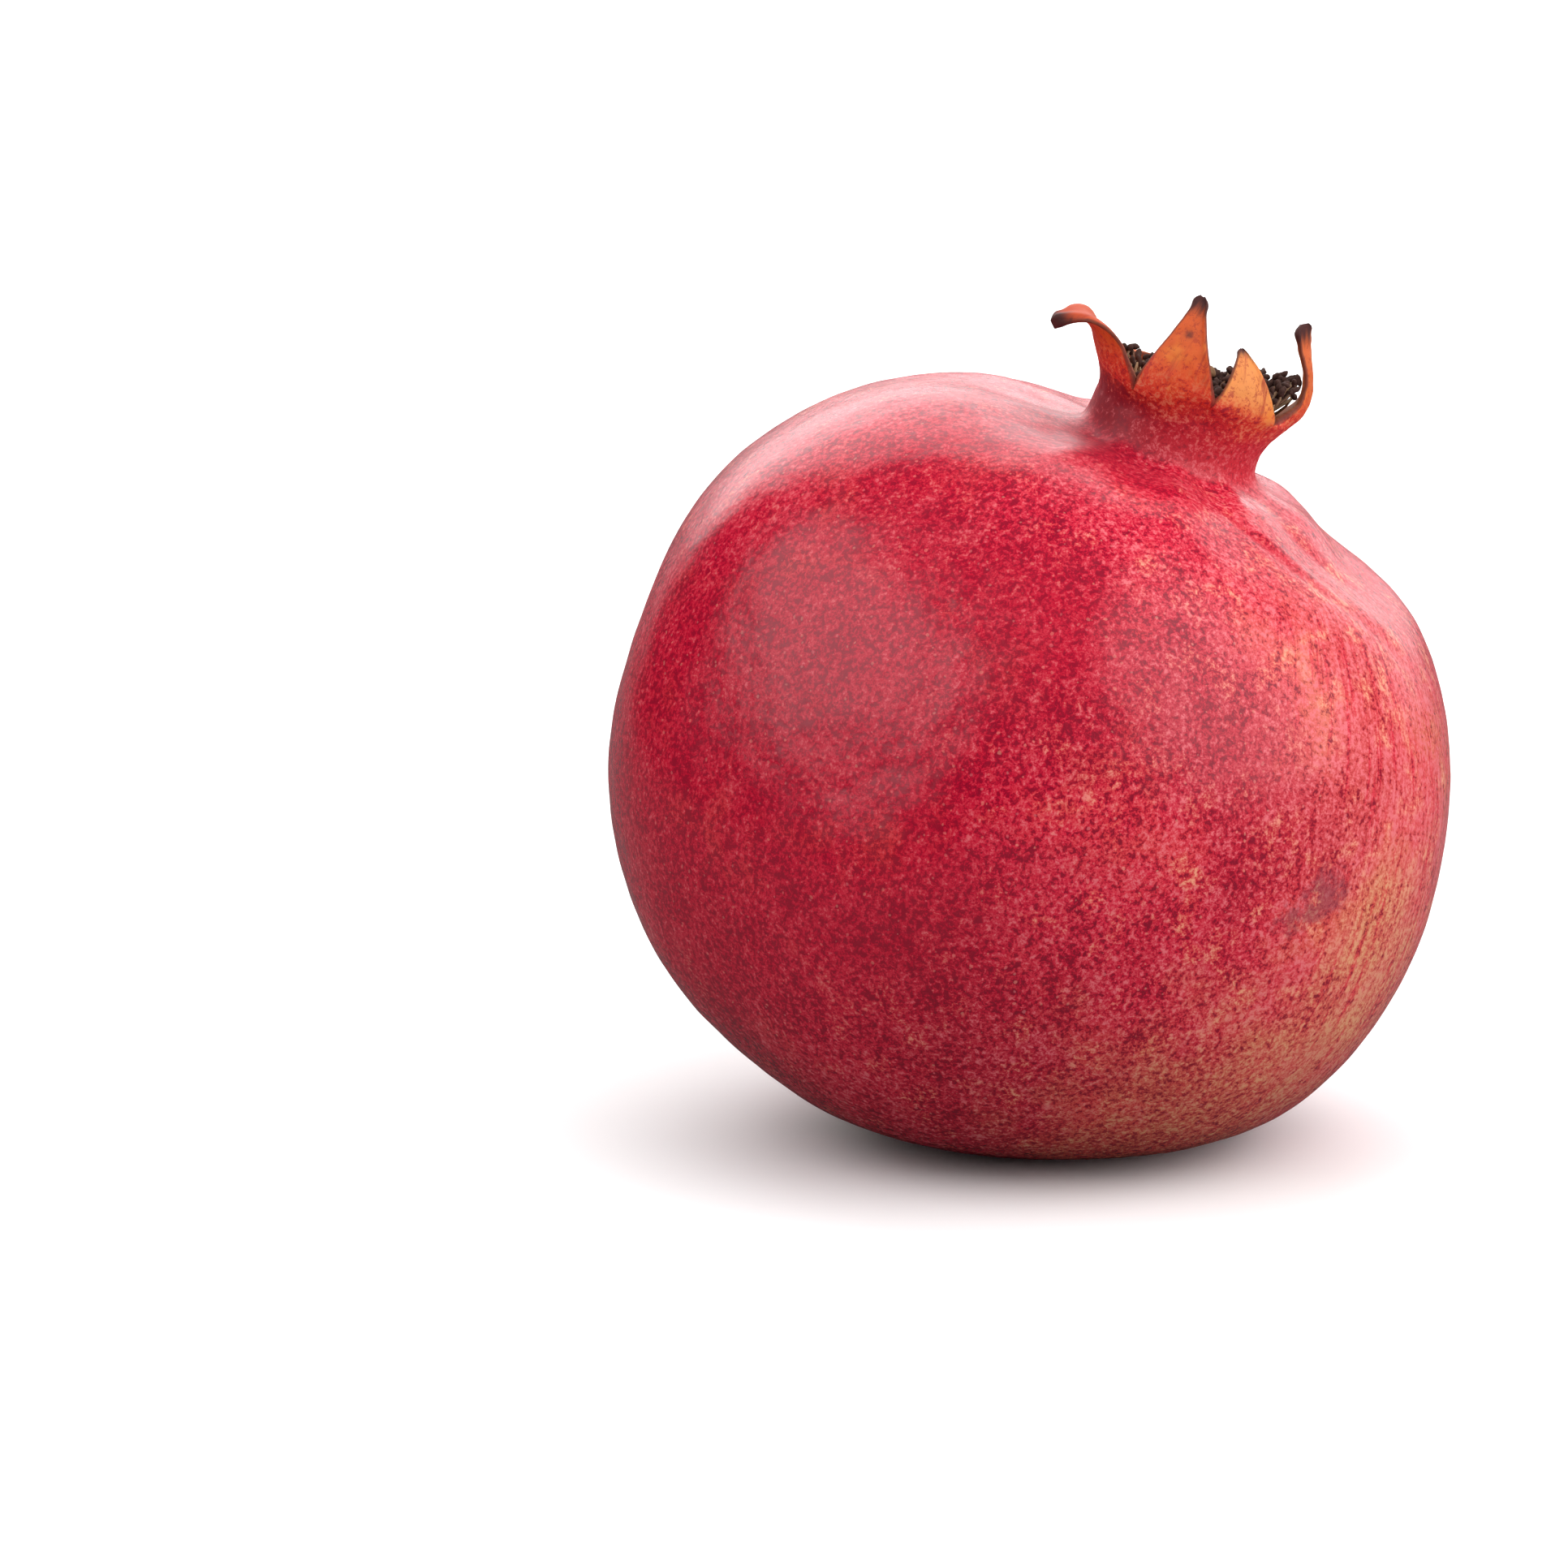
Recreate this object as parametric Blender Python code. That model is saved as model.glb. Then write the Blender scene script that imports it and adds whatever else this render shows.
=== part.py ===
"""A whole pomegranate, leaned over on the flat spot it rests on.

The rind, the neck of the crown and its sepals are one grown solid.  The dried stamens, the style and the
stub of the stalk are pieces of their own.  Every piece is modelled about the fruit's own axis (local Z
runs from the stalk end to the crown, local X to the right, local -Y to the front) and is then leaned
over and set down by one parent empty.
"""

import math

import bmesh
import bpy
from mathutils import Matrix, Vector

MM = 0.001

# How the fruit lies: its axis leans to the right and a little to the front.
LEAN_RIGHT = math.radians(23.7)
LEAN_FORWARD = math.radians(3.5)
CENTRE_HEIGHT = 42.2 * MM

# Body of the fruit, measured from its centre.
EQUATOR_RADIUS = 48.4 * MM
CROWN_END = 43.2 * MM
STEM_END = 44.6 * MM
SQUARENESS = 2.15
LOBES = 6
LOBE_SHARE = 0.010
LOBE_TURN = math.radians(-7)
SWELL_SHARE = 0.013
SWELL_ANGLE = math.radians(105)
SHOULDER_DIP = 3.4 * MM
SHOULDER_SPREAD = 20.0 * MM
SHOULDER_SHIFT = Vector((-4.0 * MM, 0.0, 0.0))
FLANK_DIP = 2.6 * MM
FLANK_ANGLE = math.radians(32)
FLANK_SPREAD = math.radians(9)
CHEEK = 0.6 * MM
CHEEK_ANGLE = math.radians(57)
CHEEK_TURN = math.radians(90)
CHEEK_SPREAD = math.radians(15)
FACE_DEPTH = 1.6 * MM
FACE_ANGLE = math.radians(76)
FACE_TURN = math.radians(-38)
FACE_SPREAD = math.radians(27)
FOLDS = 9
FOLD_SHARE = 0.007
FOLD_START = math.radians(24)
FOLD_SPREAD = math.radians(14)
DIMPLE_DEPTH = 2.0 * MM
DIMPLE_RADIUS = 6.0 * MM

# The flat spot: the underside bulges to SAG_POINT, and below SETTLE_HEIGHT the rind is pressed up, until
# it meets the surface it rests on.
SAG_POINT = Vector((-3.5 * MM, 0.0))
SAG_DEPTH = 1.4 * MM
SAG_SPREAD = 13.0 * MM
SETTLE_HEIGHT = 6.0 * MM
SETTLE_SLOPE = 0.35

# The neck of the crown and the cup inside it.
NECK_JOIN_ANGLE = math.radians(19)
FILLET_FULLNESS = 0.55
NECK_RADIUS = 10.0 * MM
NECK_HEIGHT = 43.2 * MM
RIM_RADIUS = 11.5 * MM
RIM_FLARE = 1.7
RIM_THICKNESS = 1.2 * MM
CUP_RADIUS = 8.3 * MM
CUP_CORNER = 7.2 * MM
CUP_CORNER_HEIGHT = 0.8 * MM
CUP_FLARE = 0.4 * MM
WALL_HEIGHT = 45.0 * MM
CUP_FLOOR = 42.8 * MM
CROWN_SHIFT = Vector((-1.2 * MM, 0.0, 0.0))

# Blades of the sepals.
MARGIN_THICKNESS = 0.55 * MM
BLADE_THICKNESS = 1.25 * MM
TIP_THICKNESS = 0.8 * MM
SPINE_STEP = 0.02

# Each sepal: the turn and height of the notch on its left, then its own outline.  "reach" and "rise" are
# the tip's distance from the axis and its height, "lift" is how far the blade first follows the flare
# of the rim, "arch" is the control point that bends it before the tip, "drift" moves the tip sideways,
# "twist" turns it about the blade and "tip" is half its width.  The blade stays wide for longer where
# "shoulder" is higher, and "taper" hollows its flanks.  Lengths are in millimetres and turns in degrees.
SEPALS = [
    dict(name="left", notch=-101.0, notch_height=46.6, lift=3.8, arch=(15.6, 52.4), reach=18.9,
         rise=48.5, drift=-2.6, twist=0.0, tip=0.7, shoulder=1.7, taper=1.2),
    dict(name="front", notch=-37.8, notch_height=45.7, lift=3.6, arch=(11.0, 54.6), reach=9.0,
         rise=58.4, drift=-12.0, twist=0.0, tip=0.8, shoulder=2.0, taper=1.8),
    dict(name="front_right", notch=6.8, notch_height=47.8, lift=2.0, arch=(10.0, 53.6), reach=6.8,
         rise=54.6, drift=-9.9, twist=0.0, tip=0.45, shoulder=1.45, taper=1.1),
    dict(name="right", notch=51.9, notch_height=48.0, lift=4.8, arch=(11.4, 55.0), reach=8.3,
         rise=59.2, drift=-8.0, twist=-34.0, tip=1.1, shoulder=0.4, taper=1.5),
    dict(name="back_right", notch=128.0, notch_height=46.4, lift=2.0, arch=(9.6, 49.4), reach=7.0,
         rise=49.3, drift=-12.0, twist=0.0, tip=0.5, shoulder=1.1, taper=1.1),
    dict(name="back_left", notch=190.0, notch_height=45.6, lift=1.2, arch=(10.4, 47.8), reach=8.4,
         rise=48.0, drift=-20.0, twist=0.0, tip=0.6, shoulder=1.2, taper=1.5),
]

# Mesh density.
COLUMNS_PER_SEPAL = 10
BODY_ROWS = 32
BODY_ROW_CROWDING = 1.3
FILLET_ROWS = 4
NECK_ROWS = 3
BLADE_ROWS = 8

# Dried stamens: a felted pad on the floor of the cup, with filaments that end in anthers.
GAP = 0.3 * MM
PAD_TOP = 44.8 * MM
PAD_HOLE = 2.2 * MM
PAD_RINGS = [3.3 * MM, 4.9 * MM, 5.6 * MM, 7.0 * MM]
PAD_CORNER_HEIGHT = 1.0 * MM
PAD_COLUMNS = 36
# Each ring of filaments: its inner and outer radius on the pad, and one filament on every so many faces.
FILAMENT_RINGS = [(PAD_RINGS[2], PAD_RINGS[3], 2), (PAD_RINGS[0], PAD_RINGS[1], 3)]
FILAMENT_HALF_WIDTH = 0.26 * MM
ANTHER_HALF_WIDTH = 0.52 * MM
ANTHER_LENGTH = 1.3 * MM
FILAMENT_TOP = 47.8 * MM
FILAMENT_TOP_SWING = 0.6 * MM
FILAMENT_RIGHT_RISE = 2.4 * MM
FILAMENT_REACH_SHARE = 0.8
FILAMENT_RIGHT_REACH = 0.26
FILAMENT_BOW = 0.5 * MM
FILAMENT_LEAN = 0.08

# Dried style and its stigma.
STYLE_FOOT = CUP_FLOOR + GAP
STYLE_TOP = 49.6 * MM
STYLE_RADIUS = 0.6 * MM
STIGMA_RADIUS = 1.0 * MM
STYLE_BEND = 0.5 * MM
STYLE_SIDES = 12
# Outline of the style: share of its length, and its radius there as a share of STYLE_RADIUS.
STYLE_OUTLINE = [
    (0.0, 0.9),
    (0.12, 1.0),
    (0.5, 0.85),
    (0.8, 0.8),
    (0.87, STIGMA_RADIUS / STYLE_RADIUS),
    (0.96, STIGMA_RADIUS / STYLE_RADIUS),
    (1.0, 0.6),
]

# Stub of the stalk.
STUB_FOOT = 43.1 * MM
STUB_LENGTH = 1.6 * MM
STUB_RADIUS = 2.7 * MM
STUB_END_RADIUS = 2.9 * MM
STUB_BEVEL = 0.35 * MM
STUB_RIDGE_SHARE = 0.05
STUB_SIDES = 20

# Colours, as linear red, green and blue.
RIND_COLOUR = (0.42, 0.03, 0.045)
STAMEN_COLOUR = (0.16, 0.09, 0.06)
STYLE_COLOUR = (0.20, 0.10, 0.05)
STALK_COLOUR = (0.23, 0.14, 0.07)


def clear_scene():
    for item in list(bpy.data.objects):
        bpy.data.objects.remove(item, do_unlink=True)


def placement():
    """World placement of the fruit's own axes."""
    lean = Matrix.Rotation(LEAN_RIGHT, 4, "Y") @ Matrix.Rotation(LEAN_FORWARD, 4, "X")
    return Matrix.Translation((0.0, 0.0, CENTRE_HEIGHT)) @ lean


def around(radius, turn, height):
    """Point at a distance from the axis; turn 0 is the front and a quarter turn is the right."""
    return Vector((radius * math.sin(turn), -radius * math.cos(turn), height))


def around_crown(radius, turn, height):
    """The same, about the middle of the crown, which sits a little off the axis."""
    return around(radius, turn, height) + CROWN_SHIFT


def blend(start, end, share):
    return start + (end - start) * share


def ease(share):
    """Smooth step from 0 to 1."""
    share = min(max(share, 0.0), 1.0)
    return share * share * (3.0 - 2.0 * share)


def bell(offset, spread):
    return math.exp(-((offset / spread) ** 2))


def apart(angle, turn, other_angle, other_turn):
    """Angle between two directions from the centre of the fruit."""
    cosine = math.cos(angle) * math.cos(other_angle)
    cosine += math.sin(angle) * math.sin(other_angle) * math.cos(turn - other_turn)
    return math.acos(min(max(cosine, -1.0), 1.0))


def rind_radius(angle, turn):
    """Distance from the centre to the rind, by the angle from the crown and the turn about the axis."""
    end = CROWN_END if math.cos(angle) > 0.0 else STEM_END
    across = abs(math.sin(angle) / EQUATOR_RADIUS) ** SQUARENESS
    along = abs(math.cos(angle) / end) ** SQUARENESS
    smooth = (across + along) ** (-1.0 / SQUARENESS)
    girth = math.sin(angle) ** 2
    lobes = LOBE_SHARE * math.cos(LOBES * (turn - LOBE_TURN)) * girth
    swell = SWELL_SHARE * math.sin(turn) * math.cos(4.0 * (angle - SWELL_ANGLE)) * girth
    fold_fade = bell(angle - FOLD_START, FOLD_SPREAD)
    folds = FOLD_SHARE * math.cos(FOLDS * turn + math.sin(2.0 * turn)) * fold_fade
    from_crown = (around(smooth * math.sin(angle), turn, 0.0) - SHOULDER_SHIFT).length
    beyond = from_crown / SHOULDER_SPREAD + (4.0 if math.cos(angle) < 0.0 else 0.0)
    dip = SHOULDER_DIP * math.exp(-(beyond**4))
    dip += FLANK_DIP * bell(angle - FLANK_ANGLE, FLANK_SPREAD) * max(math.sin(turn), 0.0)
    face = FACE_DEPTH * math.exp(-((apart(angle, turn, FACE_ANGLE, FACE_TURN) / FACE_SPREAD) ** 4))
    cheek = CHEEK * bell(apart(angle, turn, CHEEK_ANGLE, CHEEK_TURN), CHEEK_SPREAD)
    return smooth * (1.0 + lobes + swell + folds) + cheek - dip - face


def rind_point(angle, turn):
    radius = rind_radius(angle, turn)
    from_axis = radius * math.sin(angle)
    height = radius * math.cos(angle)
    if height < 0.0:
        height += DIMPLE_DEPTH * math.exp(-((from_axis / DIMPLE_RADIUS) ** 3))
    return around(from_axis, turn, height)


def column_turns():
    """Turn of every column of the mesh: equal shares of each sepal's span."""
    turns = []
    for index, sepal in enumerate(SEPALS):
        start = sepal["notch"]
        following = SEPALS[(index + 1) % len(SEPALS)]["notch"]
        span = (following - start) % 360.0
        for step in range(COLUMNS_PER_SEPAL):
            turns.append(math.radians(start + span * step / COLUMNS_PER_SEPAL))
    return turns


def rim_height(column):
    """Height of the rim where the sepals part, from notch to notch."""
    index, step = divmod(column, COLUMNS_PER_SEPAL)
    here = SEPALS[index]["notch_height"]
    following = SEPALS[(index + 1) % len(SEPALS)]["notch_height"]
    return blend(here, following, ease(step / COLUMNS_PER_SEPAL)) * MM


def body_ring(bm, angle, turns):
    return [bm.verts.new(rind_point(angle, turn)) for turn in turns]


def fillet_ring(bm, share, turns):
    """Ring on the hollow curve that carries the shoulder of the body up into the neck."""
    ring = []
    for turn in turns:
        foot = rind_point(NECK_JOIN_ANGLE, turn)
        below = rind_point(NECK_JOIN_ANGLE + math.radians(2), turn)
        top = around_crown(NECK_RADIUS, turn, NECK_HEIGHT)
        reach = (top - foot).length
        foot_handle = foot + (foot - below).normalized() * (reach * FILLET_FULLNESS)
        top_handle = top - Vector((0.0, 0.0, reach * FILLET_FULLNESS))
        ring.append(bm.verts.new(bezier(foot, foot_handle, top_handle, top, share)))
    return ring


def bezier(start, start_handle, end_handle, end, share):
    rest = 1.0 - share
    return (
        start * rest**3
        + start_handle * (3.0 * rest * rest * share)
        + end_handle * (3.0 * rest * share * share)
        + end * share**3
    )


def neck_ring(bm, share, turns):
    """Ring between the straight foot of the neck and its flared rim."""
    ring = []
    for column, turn in enumerate(turns):
        radius = blend(NECK_RADIUS, RIM_RADIUS, share**RIM_FLARE)
        height = blend(NECK_HEIGHT, rim_height(column), share)
        ring.append(bm.verts.new(around_crown(radius, turn, height)))
    return ring


def inner_ring(bm, radius, height_of, turns):
    ring = []
    for column, turn in enumerate(turns):
        ring.append(bm.verts.new(around_crown(radius, turn, height_of(column))))
    return ring


def bridge(bm, lower, upper):
    """Quads between two rings that run the same way round; they face out when upper is higher."""
    count = len(lower)
    for column in range(count):
        following = (column + 1) % count
        bm.faces.new((lower[column], lower[following], upper[following], upper[column]))


def sepal_grid(index, turns):
    """Outer and inner points of one blade, as rows from the rim to the tip."""
    sepal = SEPALS[index]
    first = index * COLUMNS_PER_SEPAL
    start = turns[first]
    following = SEPALS[(index + 1) % len(SEPALS)]
    half_span = math.radians((following["notch"] - sepal["notch"]) % 360.0) / 2.0
    middle = start + half_span
    root_height = (sepal["notch_height"] + following["notch_height"]) * 0.5 * MM
    root = Vector((RIM_RADIUS, root_height))
    rim_slope = Vector((RIM_FLARE * (RIM_RADIUS - NECK_RADIUS), root_height - NECK_HEIGHT)).normalized()
    root_handle = root + rim_slope * sepal["lift"] * MM
    arch = Vector(sepal["arch"]) * MM
    tip = Vector((sepal["reach"], sepal["rise"])) * MM
    half_width = RIM_RADIUS * math.sin(half_span)
    outer = []
    inner = []
    for row in range(BLADE_ROWS + 1):
        share = row / BLADE_ROWS
        spine = bezier(root, root_handle, arch, tip, share)
        ahead = bezier(root, root_handle, arch, tip, min(share + SPINE_STEP, 1.0))
        behind = bezier(root, root_handle, arch, tip, max(share - SPINE_STEP, 0.0))
        along = (ahead - behind).normalized()
        turn = middle + math.radians(sepal["drift"]) * share**2
        away = around(1.0, turn, 0.0)
        side = around(1.0, turn + math.pi / 2.0, 0.0)
        leaned = away * along.y - Vector((0.0, 0.0, along.x))
        outward = blend(away, leaned, ease(share * 2.0)).normalized()
        twist = Matrix.Rotation(math.radians(sepal["twist"]) * share**2, 3, outward.cross(side))
        outward = twist @ outward
        side = twist @ side
        narrowing = (1.0 - share ** sepal["shoulder"]) ** sepal["taper"]
        width = blend(sepal["tip"] * MM, half_width, narrowing)
        scale = width / half_width
        centre = around_crown(spine.x, turn, spine.y)
        outer_row = []
        inner_row = []
        for step in range(COLUMNS_PER_SEPAL + 1):
            across = 2.0 * step / COLUMNS_PER_SEPAL - 1.0
            bow = across * half_span
            point = centre + side * (RIM_RADIUS * math.sin(bow) * scale)
            point -= outward * (RIM_RADIUS * (1.0 - math.cos(bow)) * scale)
            rim = blend(sepal["notch_height"], following["notch_height"], ease(step / COLUMNS_PER_SEPAL))
            point.z += (rim * MM - root_height) * (1.0 - share) ** 2
            body = blend(BLADE_THICKNESS, TIP_THICKNESS, share)
            thin = blend(MARGIN_THICKNESS, body, 1.0 - across**4)
            thickness = blend(RIM_THICKNESS, thin, ease(share * 3.0))
            outer_row.append(point)
            inner_row.append(point - outward * thickness)
        outer.append(outer_row)
        inner.append(inner_row)
    return outer, inner


def add_sepals(bm, outer_rim, inner_rim, turns):
    """Blades on the rim: an outer and an inner skin, joined along both margins and over the tip."""
    total = len(turns)
    for index in range(len(SEPALS)):
        outer, inner = sepal_grid(index, turns)
        first = index * COLUMNS_PER_SEPAL
        columns = [(first + step) % total for step in range(COLUMNS_PER_SEPAL + 1)]
        outer_rows = [[outer_rim[column] for column in columns]]
        inner_rows = [[inner_rim[column] for column in columns]]
        for row in range(1, BLADE_ROWS + 1):
            outer_rows.append([bm.verts.new(point) for point in outer[row]])
            inner_rows.append([bm.verts.new(point) for point in inner[row]])
        for row in range(BLADE_ROWS):
            for step in range(COLUMNS_PER_SEPAL):
                low, high = outer_rows[row], outer_rows[row + 1]
                bm.faces.new((low[step], low[step + 1], high[step + 1], high[step]))
                low, high = inner_rows[row], inner_rows[row + 1]
                bm.faces.new((low[step + 1], low[step], high[step], high[step + 1]))
            for step, flip in ((0, True), (COLUMNS_PER_SEPAL, False)):
                corners = [
                    outer_rows[row][step],
                    inner_rows[row][step],
                    inner_rows[row + 1][step],
                    outer_rows[row + 1][step],
                ]
                bm.faces.new(reversed(corners) if flip else corners)
        outer_tip, inner_tip = outer_rows[-1], inner_rows[-1]
        for step in range(COLUMNS_PER_SEPAL):
            bm.faces.new((outer_tip[step], outer_tip[step + 1], inner_tip[step + 1], inner_tip[step]))


def settle(bm, place):
    """Presses the rind flat where it rests and closes it there with one level face."""
    depth_gain = (1.0 - SETTLE_SLOPE) / 2.0
    contact = -depth_gain * SETTLE_HEIGHT / (1.0 - depth_gain)
    bend = depth_gain / (SETTLE_HEIGHT - contact)
    back = place.inverted()
    for vert in bm.verts:
        spot = place @ vert.co
        if spot.z < CENTRE_HEIGHT:
            spot.z -= SAG_DEPTH * bell((spot.xy - SAG_POINT).length, SAG_SPREAD)
        if contact < spot.z < SETTLE_HEIGHT:
            spot.z += bend * (SETTLE_HEIGHT - spot.z) ** 2
        vert.co = back @ spot
    up = back.to_3x3() @ Vector((0.0, 0.0, 1.0))
    floor_point = back @ Vector((0.0, 0.0, 0.0))
    geometry = bm.verts[:] + bm.edges[:] + bm.faces[:]
    cut = bmesh.ops.bisect_plane(bm, geom=geometry, plane_co=floor_point, plane_no=up, clear_inner=True)
    rim = [item for item in cut["geom_cut"] if isinstance(item, bmesh.types.BMEdge)]
    bmesh.ops.contextual_create(bm, geom=rim)


def finish_object(name, bm, material, parent):
    mesh = bpy.data.meshes.new(name)
    bm.to_mesh(mesh)
    bm.free()
    mesh.materials.append(material)
    mesh.shade_smooth()
    mesh.set_sharp_from_angle(angle=math.radians(50))
    item = bpy.data.objects.new(name, mesh)
    bpy.context.scene.collection.objects.link(item)
    item.parent = parent
    return item


def make_material(name, colour, roughness):
    material = bpy.data.materials.new(name)
    material.use_nodes = True
    shader = material.node_tree.nodes["Principled BSDF"]
    shader.inputs["Base Color"].default_value = (*colour, 1.0)
    shader.inputs["Roughness"].default_value = roughness
    shader.inputs["Metallic"].default_value = 0.0
    return material


def make_fruit(parent, place):
    """Rind, neck, sepals and open cup as one closed solid."""
    bm = bmesh.new()
    turns = column_turns()
    pole = bm.verts.new(rind_point(math.pi, 0.0))
    rings = []
    for row in range(1, BODY_ROWS + 1):
        angle = blend(math.pi, NECK_JOIN_ANGLE, (row / BODY_ROWS) ** BODY_ROW_CROWDING)
        rings.append(body_ring(bm, angle, turns))
    for row in range(1, FILLET_ROWS + 1):
        rings.append(fillet_ring(bm, row / FILLET_ROWS, turns))
    for row in range(1, NECK_ROWS + 1):
        rings.append(neck_ring(bm, row / NECK_ROWS, turns))
    for lower, upper in zip(rings, rings[1:]):
        bridge(bm, lower, upper)
    for column in range(len(turns)):
        bm.faces.new((pole, rings[0][(column + 1) % len(turns)], rings[0][column]))
    inner_rim = inner_ring(bm, RIM_RADIUS - RIM_THICKNESS, rim_height, turns)
    wall = inner_ring(bm, CUP_RADIUS + CUP_FLARE, lambda column: WALL_HEIGHT, turns)
    corner = inner_ring(bm, CUP_RADIUS, lambda column: CUP_FLOOR + CUP_CORNER_HEIGHT, turns)
    floor = inner_ring(bm, CUP_CORNER, lambda column: CUP_FLOOR, turns)
    for upper, lower in zip((inner_rim, wall, corner), (wall, corner, floor)):
        bridge(bm, upper, lower)
    bm.faces.new(floor)
    add_sepals(bm, rings[-1], inner_rim, turns)
    settle(bm, place)
    rind = make_material("pomegranate_rind", RIND_COLOUR, 0.38)
    return finish_object("fruit", bm, rind, parent)


def grow_filament(bm, face, root, top, lean_turn):
    """Draws one face of the pad out into a bent filament with an anther on its end."""
    middle = blend(root, top, 0.5) + around(FILAMENT_BOW, lean_turn, 0.0)
    stem = top - Vector((0.0, 0.0, ANTHER_LENGTH))
    stations = [
        (blend(root, middle, 0.5), FILAMENT_HALF_WIDTH),
        (middle, FILAMENT_HALF_WIDTH),
        (stem, FILAMENT_HALF_WIDTH),
        (blend(stem, top, 0.25), ANTHER_HALF_WIDTH),
        (blend(stem, top, 0.8), ANTHER_HALF_WIDTH),
        (top, FILAMENT_HALF_WIDTH),
    ]
    side = around(1.0, lean_turn + math.pi / 2.0, 0.0)
    away = around(1.0, lean_turn, 0.0)
    corners = ((-1, -1), (1, -1), (1, 1), (-1, 1))
    for centre, half_width in stations:
        face = bmesh.ops.extrude_discrete_faces(bm, faces=[face])["faces"][0]
        ordered = sorted(face.verts, key=lambda vert: corner_rank(vert.co - root, side, away))
        for vert, (along, out) in zip(ordered, corners):
            vert.co = centre + side * (half_width * along) + away * (half_width * out)
        root = centre


def corner_rank(offset, side, away):
    """Order of a face's corners: inner left, inner right, outer right, outer left."""
    return (math.atan2(offset.dot(away), offset.dot(side)) + math.pi) % (2.0 * math.pi)


def make_stamens(parent):
    """Felted pad round the style, with two rings of filaments drawn out of its upper face."""
    bm = bmesh.new()
    turns = [2.0 * math.pi * column / PAD_COLUMNS for column in range(PAD_COLUMNS)]
    foot = CUP_FLOOR + GAP
    outer = CUP_RADIUS - GAP
    profile = [(PAD_HOLE, foot), (CUP_CORNER - GAP, foot), (outer, foot + PAD_CORNER_HEIGHT)]
    profile += [(radius, PAD_TOP) for radius in [outer, *reversed(PAD_RINGS), PAD_HOLE]]
    rings = []
    for radius, height in profile:
        rings.append([bm.verts.new(around_crown(radius, turn, height)) for turn in turns])
    for index, ring in enumerate(rings):
        bridge(bm, ring, rings[(index + 1) % len(rings)])
    bm.faces.ensure_lookup_table()
    for near, far, spacing in FILAMENT_RINGS:
        grow_filament_ring(bm, near, far, spacing)
    felt = make_material("dry_stamen", STAMEN_COLOUR, 0.85)
    return finish_object("stamens", bm, felt, parent)


def grow_filament_ring(bm, near, far, spacing):
    """One filament on every face, at the given spacing, between two radii of the pad's upper face."""
    middle = (near + far) / 2.0
    chosen = []
    for face in bm.faces:
        offset = face.calc_center_median() - CROWN_SHIFT
        from_axis = math.hypot(offset.x, offset.y)
        column = round(math.atan2(offset.x, -offset.y) / (2.0 * math.pi) * PAD_COLUMNS - 0.5)
        on_top = abs(offset.z - PAD_TOP) < 0.01 * MM
        if on_top and abs(from_axis - middle) < 0.3 * MM and column % spacing == 0:
            chosen.append((column, face))
    for column, face in sorted(chosen, key=lambda pair: pair[0]):
        turn = 2.0 * math.pi * (column + 0.5) / PAD_COLUMNS
        swing = math.sin(5.0 * turn) + math.cos(3.0 * turn + middle / MM)
        height = FILAMENT_TOP + FILAMENT_TOP_SWING * swing * 0.5
        rightward = max(math.sin(turn), 0.0) ** 3
        height += FILAMENT_RIGHT_RISE * rightward * middle / PAD_RINGS[3]
        reach = middle * (FILAMENT_REACH_SHARE + FILAMENT_RIGHT_REACH * rightward)
        root = face.calc_center_median()
        top = around_crown(reach, turn + FILAMENT_LEAN * swing, height)
        grow_filament(bm, face, root, top, turn)


def make_style(parent):
    """Slightly bent dry style with the knob of its stigma on top."""
    bm = bmesh.new()
    turns = [2.0 * math.pi * column / STYLE_SIDES for column in range(STYLE_SIDES)]
    rings = []
    for share, swell in STYLE_OUTLINE:
        bend = Vector((STYLE_BEND * share * share, 0.0, 0.0))
        height = blend(STYLE_FOOT, STYLE_TOP, share)
        ring = [around_crown(STYLE_RADIUS * swell, turn, height) + bend for turn in turns]
        rings.append([bm.verts.new(point) for point in ring])
    for lower, upper in zip(rings, rings[1:]):
        bridge(bm, lower, upper)
    bm.faces.new(reversed(rings[0]))
    bm.faces.new(rings[-1])
    dry = make_material("dry_style", STYLE_COLOUR, 0.8)
    return finish_object("style", bm, dry, parent)


def make_stem_stub(parent):
    """Short clipped stalk in the dimple, with a bevelled cut end."""
    bm = bmesh.new()
    middle = -(STUB_FOOT + STUB_LENGTH / 2.0)
    bmesh.ops.create_cone(
        bm,
        cap_ends=True,
        segments=STUB_SIDES,
        radius1=STUB_END_RADIUS,
        radius2=STUB_RADIUS,
        depth=STUB_LENGTH,
        matrix=Matrix.Translation((0.0, 0.0, middle)),
    )
    for vert in bm.verts:
        turn = math.atan2(vert.co.x, -vert.co.y)
        ridge = 1.0 + STUB_RIDGE_SHARE * math.cos(5.0 * turn)
        vert.co.x *= ridge
        vert.co.y *= ridge
    caps = [edge for edge in bm.edges if edge.calc_face_angle(0.0) > math.radians(60)]
    bmesh.ops.bevel(bm, geom=caps, offset=STUB_BEVEL, segments=2, affect="EDGES", profile=0.5)
    wood = make_material("stalk_wood", STALK_COLOUR, 0.8)
    return finish_object("stem_stub", bm, wood, parent)


def main():
    clear_scene()
    place = placement()
    empty = bpy.data.objects.new("pomegranate", None)
    bpy.context.scene.collection.objects.link(empty)
    empty.matrix_world = place
    make_fruit(empty, place)
    make_stamens(empty)
    make_style(empty)
    make_stem_stub(empty)


main()
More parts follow.
